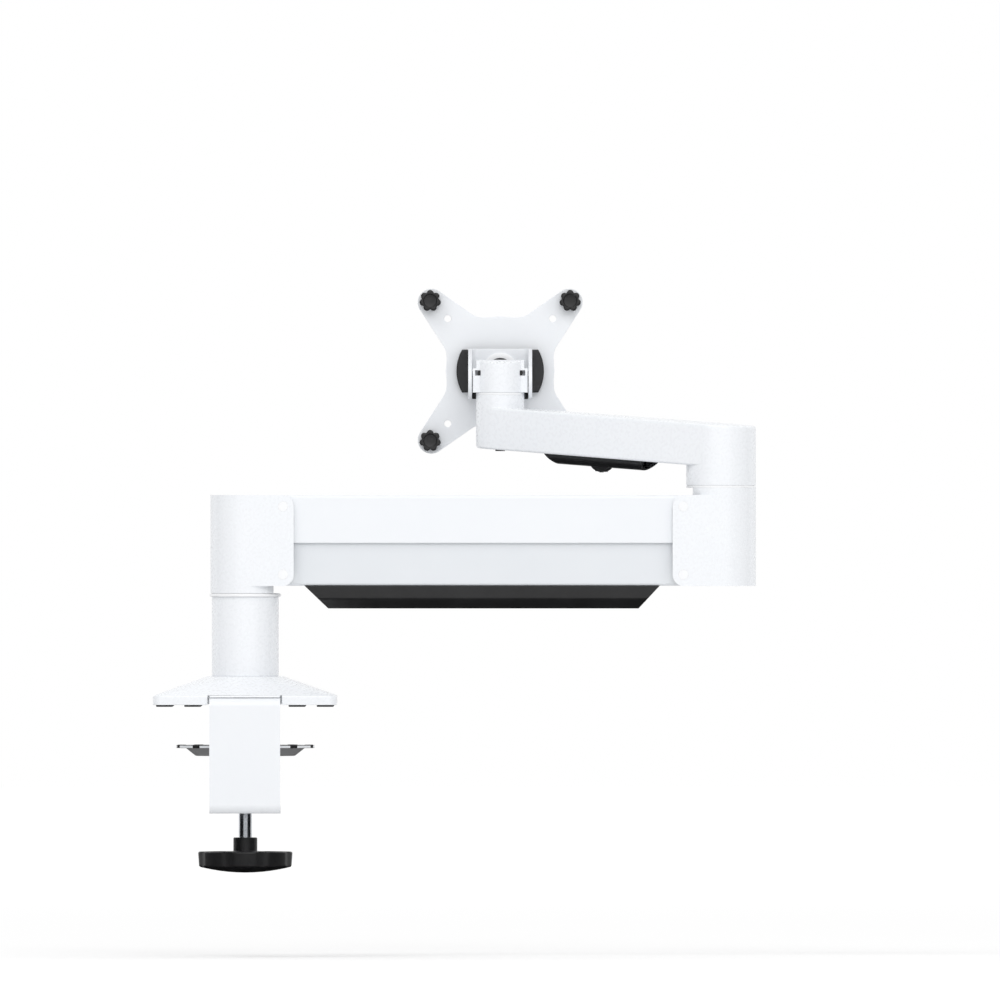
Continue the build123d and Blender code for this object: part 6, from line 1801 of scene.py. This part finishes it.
# ---- display plate
@dataclass
class DisplayPlate:
    """The plate that the display screws to, and its four thumbscrews."""

    tip: float = 49.2
    tip_radius: float = 9.8
    flat: float = 35.0
    steep: float = 57.0
    bulge: Point = (38.9, 39.3)
    waist_top: float = 20.6
    waist_side: float = 18.0
    hole: float = 2.45
    stud_hole: float = 2.26
    edge: float = 0.35
    lobes: int = 7
    lobe_centre: float = 5.35
    lobe_radius: float = 2.4
    stud_square: float = 100.0
    hole_square: float = 75.0
    recess: float = 9.1
    recess_floor: float = 1.8
    grip_core: float = 6.3
    grip_radius: float = 7.75
    stud: float = 2.0
    stud_length: float = 9.0

    def build(self) -> None:
        """Make the plate and the thumbscrews."""
        self.plate_sheet()
        for number in (1, 2, 3, 4):
            self.thumbscrew(number)

    def quarter(self) -> Outline:
        """A quarter of the outline, from the top's middle round to the side's."""
        flat, steep = math.radians(self.flat), math.radians(self.steep)
        top = (self.tip - self.tip_radius * math.sin(flat), self.tip + self.tip_radius * math.cos(flat))
        side = (self.tip + self.tip_radius * math.sin(steep), self.tip - self.tip_radius * math.cos(steep))
        shoulder = (self.waist_top, top[1] - (top[0] - self.waist_top) * math.tan(flat))
        hip = (side[0] - (side[1] - self.waist_side) / math.tan(steep), self.waist_side)
        first = bezier(
            (0.0, self.bulge[1]), (8.5, self.bulge[1] - 0.7),
            (shoulder[0] - 7.0 * math.cos(flat), shoulder[1] - 7.0 * math.sin(flat)), shoulder, 14,
        )
        last = bezier(
            hip, (hip[0] - 6.0 * math.cos(steep), hip[1] - 6.0 * math.sin(steep)), (self.bulge[0] - 0.6, 7.5),
            (self.bulge[0], 0.0), 14,
        )
        start = math.degrees(math.atan2(top[1] - self.tip, top[0] - self.tip))
        end = math.degrees(math.atan2(side[1] - self.tip, side[0] - self.tip))
        return [*first, shoulder, *arc((self.tip, self.tip), self.tip_radius, start, end, 20), *last]

    def outline(self) -> Outline:
        """The whole outline, mirrored from its quarter."""
        right = self.quarter()
        lower = [(x, -y) for x, y in reversed(right[1:])]
        half = [*right, (self.bulge[0], 0.0), *lower]
        left = [(-x, y) for x, y in reversed(half[1:])]
        return [*half, (0.0, -self.bulge[1]), *left]

    def plate_sheet(self) -> None:
        """The cut plate with its two squares of holes."""
        low, high = span("vesa_plate")
        x, _, z = middle("vesa_plate")
        face, thick = facing_back(high.y, x, z), high.y - low.y
        holes = [
            circle(radius, (across * square / 2, up * square / 2), 40)
            for radius, square in ((self.stud_hole, self.stud_square), (self.hole, self.hole_square))
            for across in (-1, 1) for up in (-1, 1)
        ]
        holes.append(circle(self.recess, steps=72))
        body = plate([self.outline(), *holes], 0.0, thick, face, self.edge)
        web = plate([circle(self.recess + 0.2, steps=72), circle(5.06, steps=48)], self.recess_floor, thick, face, 0.1)
        fit(joined(body, web), "display_plate_sheet", Finish.WHITE_COAT, "vesa_plate")

    def thumbscrew(self, number: int) -> None:
        """One thumbscrew: a lobed grip with a turned boss, a dished face and an M4 stud."""
        node = f"thumbscrew_{number}"
        low, high = span(node)
        x, _, z = middle(node)
        grip_face = span("vesa_plate")[0].y - 0.3
        place = facing_back(grip_face, x, z)
        deep = grip_face - low.y

        def lobes(angle: float, radius: float) -> float:
            """The radius at an angle: seven round lobes on a smaller disc."""
            sector = 2 * math.pi / self.lobes
            away = (angle - math.pi / 2 + sector / 2) % sector - sector / 2
            across = self.lobe_centre * math.sin(away)
            edge = self.grip_core
            if abs(across) < self.lobe_radius:
                edge = max(edge, self.lobe_centre * math.cos(away) + math.sqrt(self.lobe_radius**2 - across**2))
            return radius if radius < 6.0 else edge - (self.grip_radius - radius)

        dish = deep - 0.9
        corners = [
            (0.0, 0.0), (self.grip_radius, 0.0), (self.grip_radius, deep), (5.0, deep), (4.5, deep - 0.7), (2.2, dish),
            (0.0, dish),
        ]
        grip = turned(rounded(corners, [0, 0.8, 1.0, 0.3, 0.4, 0.3, 0], 4), place, 196, lobes)
        fit(grip, f"thumbscrew_grip_{number}", Finish.BLACK_NYLON, node)
        stud_place = Place((x, grip_face, z), (0, 0, 1), (1, 0, 0))
        reach = high.y - grip_face
        shoulder = reach - self.stud_length
        stud = joined(
            turned(ring(0.0, self.stud + 0.2, -1.0, shoulder, 0.15), stud_place, 40),
            thread(self.stud, 0.3, 0.7, shoulder - 0.1, reach, stud_place),
        )
        fit(stud, f"thumbscrew_stud_{number}", Finish.ZINC, on=node)


# ---- stage
@dataclass
class Stage:
    """A pale floor, a white surround, soft lamps and a long-lens camera."""

    floor_drop: float = 60.0
    view_centre: Point = (181.0, 146.7)
    view_width: float = 710.7
    lens_mm: float = 1200.0
    sensor_mm: float = 36.0
    fill: float = 0.74
    fill_below: float = 0.46
    floor_half: float = 14000.0
    floor_glow: float = 0.36
    bright: Point = (0.2, -1.6)
    fade: float = 6.6

    def build(self) -> None:
        """Make the floor, the surround, the lamps and the camera."""
        self.world()
        self.floor()
        self.lamps()
        self.flags()
        self.camera()

    def seen_directly(self, tree: Tree) -> Socket:
        """A socket that is 1 for what the eye sees itself, in a mirror or through glass."""
        path = add_node(tree, "ShaderNodeLightPath")
        seen = path.outputs["Is Camera Ray"]
        for kind in ("Is Glossy Ray", "Is Transmission Ray"):
            links = {"0": seen, "1": path.outputs[kind]}
            seen = add_node(tree, "ShaderNodeMath", {"operation": "MAXIMUM"}, links).outputs[0]
        return seen

    def world(self) -> None:
        """A white surround that lights evenly and shows as white behind the object."""
        world = bpy.data.worlds.new("surround")
        bpy.context.scene.world = world
        world.use_nodes = True
        tree = world.node_tree
        tree.nodes.clear()
        where = add_node(tree, "ShaderNodeTexCoord").outputs["Generated"]
        height = add_node(tree, "ShaderNodeSeparateXYZ", {}, {"0": where}).outputs["Z"]
        fill = add_node(
            tree, "ShaderNodeMapRange",
            {".From Min": -0.4, ".From Max": 0.3, ".To Min": self.fill_below, ".To Max": self.fill}, {"Value": height},
        )
        strength = add_node(
            tree, "ShaderNodeMix", {".3": 1.0}, {"0": self.seen_directly(tree), "2": fill.outputs[0]}
        )
        glow = add_node(tree, "ShaderNodeBackground", {".Color": (1, 1, 1, 1)}, {"Strength": strength.outputs[0]})
        add_node(tree, "ShaderNodeOutputWorld", {}, {"Surface": glow.outputs[0]})

    def floor_height(self) -> float:
        """The floor's height under the object, in millimetres."""
        return CAD_BOX[0][2] / MM - self.floor_drop

    def floor(self) -> None:
        """A pale floor under the object, lifted to white for the eye but keeping its shadows."""
        low, half = self.floor_height(), self.floor_half
        mesh = plate([rectangle((-half, -half), (half, half), half / 7)], low - 20, low, edge=4.0)
        mesh.transform(Matrix.Scale(MM, 4))
        material, tree = new_tree("pale_floor")
        where = add_node(tree, "ShaderNodeTexCoord").outputs["Object"]
        # the lamps fade away from the place under them, so the glow that the eye sees rises there and the
        # floor stays an even white
        apart = add_node(
            tree, "ShaderNodeVectorMath", {"operation": "DISTANCE", ".1": (*self.bright, low * MM)}, {"0": where}
        ).outputs["Value"]
        away = add_node(tree, "ShaderNodeMapRange", {".From Max": self.fade}, {"Value": apart})
        glow = away.outputs[0]
        steps = (("POWER", {".1": 0.5}, {}), ("MULTIPLY", {".1": self.floor_glow}, {}),
                 ("MULTIPLY", {}, {"1": self.seen_directly(tree)}))
        for operation, values, links in steps:
            settings = {"operation": operation, **values}
            glow = add_node(tree, "ShaderNodeMath", settings, {"0": glow, **links}).outputs[0]
        shader = add_node(
            tree, "ShaderNodeBsdfPrincipled",
            {".Base Color": hex_to_linear("#F2F2F2"), ".Roughness": 1.0, ".Specular IOR Level": 0.0,
             ".Emission Color": (1, 1, 1, 1)},
            {"Emission Strength": glow},
        )
        add_node(tree, "ShaderNodeOutputMaterial", {}, {"Surface": shader.outputs[0]})
        mesh.materials.clear()
        mesh.materials.append(material)
        placed("floor", mesh)

    def lamps(self) -> None:
        """A broad lamp above on the left, one high in front, and a weak one from the right."""
        centre = Vector((self.view_centre[0] * MM, 0.0, self.view_centre[1] * MM))
        plan = (
            ("key", Vector((-1.5, -1.9, 2.9)), 1.6, 20.0),
            ("front", Vector((0.5, -3.2, 1.9)), 2.0, 26.0),
            ("side", Vector((2.7, -2.4, 1.5)), 1.8, 9.0),
        )
        for name, away, size, power in plan:
            lamp = bpy.data.lights.new(name, "AREA")
            lamp.shape = "DISK"
            lamp.size = size
            lamp.energy = power
            holder = placed(name, lamp)
            holder.location = centre + away
            holder.rotation_euler = (-away).to_track_quat("-Z", "Y").to_euler()

    def flags(self) -> None:
        """Dark cards at both sides and below: only shiny surfaces see them, as darker bands beside the white."""
        material, tree = new_tree("dark_card")
        shader = add_node(tree, "ShaderNodeBsdfDiffuse", {".Color": hex_to_linear("#1C1C1E")})
        add_node(tree, "ShaderNodeOutputMaterial", {}, {"Surface": shader.outputs[0]})
        side = rectangle((-2100.0, -1400.0), (450.0, 3200.0))
        below = rectangle((-900.0, -1600.0), (1300.0, 900.0))
        plan = (
            ("card_left", side, facing_side(-1300.0)),
            ("card_right", side, facing_side(1660.0)),
            ("card_below", below, level(self.floor_height() + 30.0)),
        )
        for name, outline, place in plan:
            mesh = block(outline, -5.0, 5.0, place)
            mesh.transform(Matrix.Scale(MM, 4))
            mesh.materials.append(material)
            card = placed(name, mesh)
            for rays in ("camera", "diffuse", "shadow", "transmission"):
                setattr(card, f"visible_{rays}", False)

    def camera(self) -> None:
        """A level long-lens camera that looks along +Y, at the back of the display plate."""
        data = bpy.data.cameras.new("camera")
        data.lens = self.lens_mm
        data.sensor_width = self.sensor_mm
        distance = self.view_width * MM * self.lens_mm / self.sensor_mm
        data.clip_end = distance * 4
        data.dof.use_dof = False
        camera = placed("camera", data)
        camera.location = (self.view_centre[0] * MM, -distance, self.view_centre[1] * MM)
        camera.rotation_euler = (math.pi / 2, 0, 0)
        bpy.context.scene.camera = camera
        bpy.context.scene.view_settings.view_transform = "Standard"


def main() -> None:
    """Build the stage and every sub-assembly, in order."""
    logging.basicConfig(level=logging.INFO, format="%(message)s")
    dress_frame()
    Stage().build()
    assemblies = (
        DeskFoot(), ClampBracket(), ClampScrew(), PressurePlate(), EndCaps(), BeamLinks(), GasSpring(),
        ExtensionArm(), TiltHead(), DisplayPlate(),
    )
    for assembly in assemblies:
        LOG.info("building %s", type(assembly).__name__)
        assembly.build()
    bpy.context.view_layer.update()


if __name__ == "__main__":
    main()
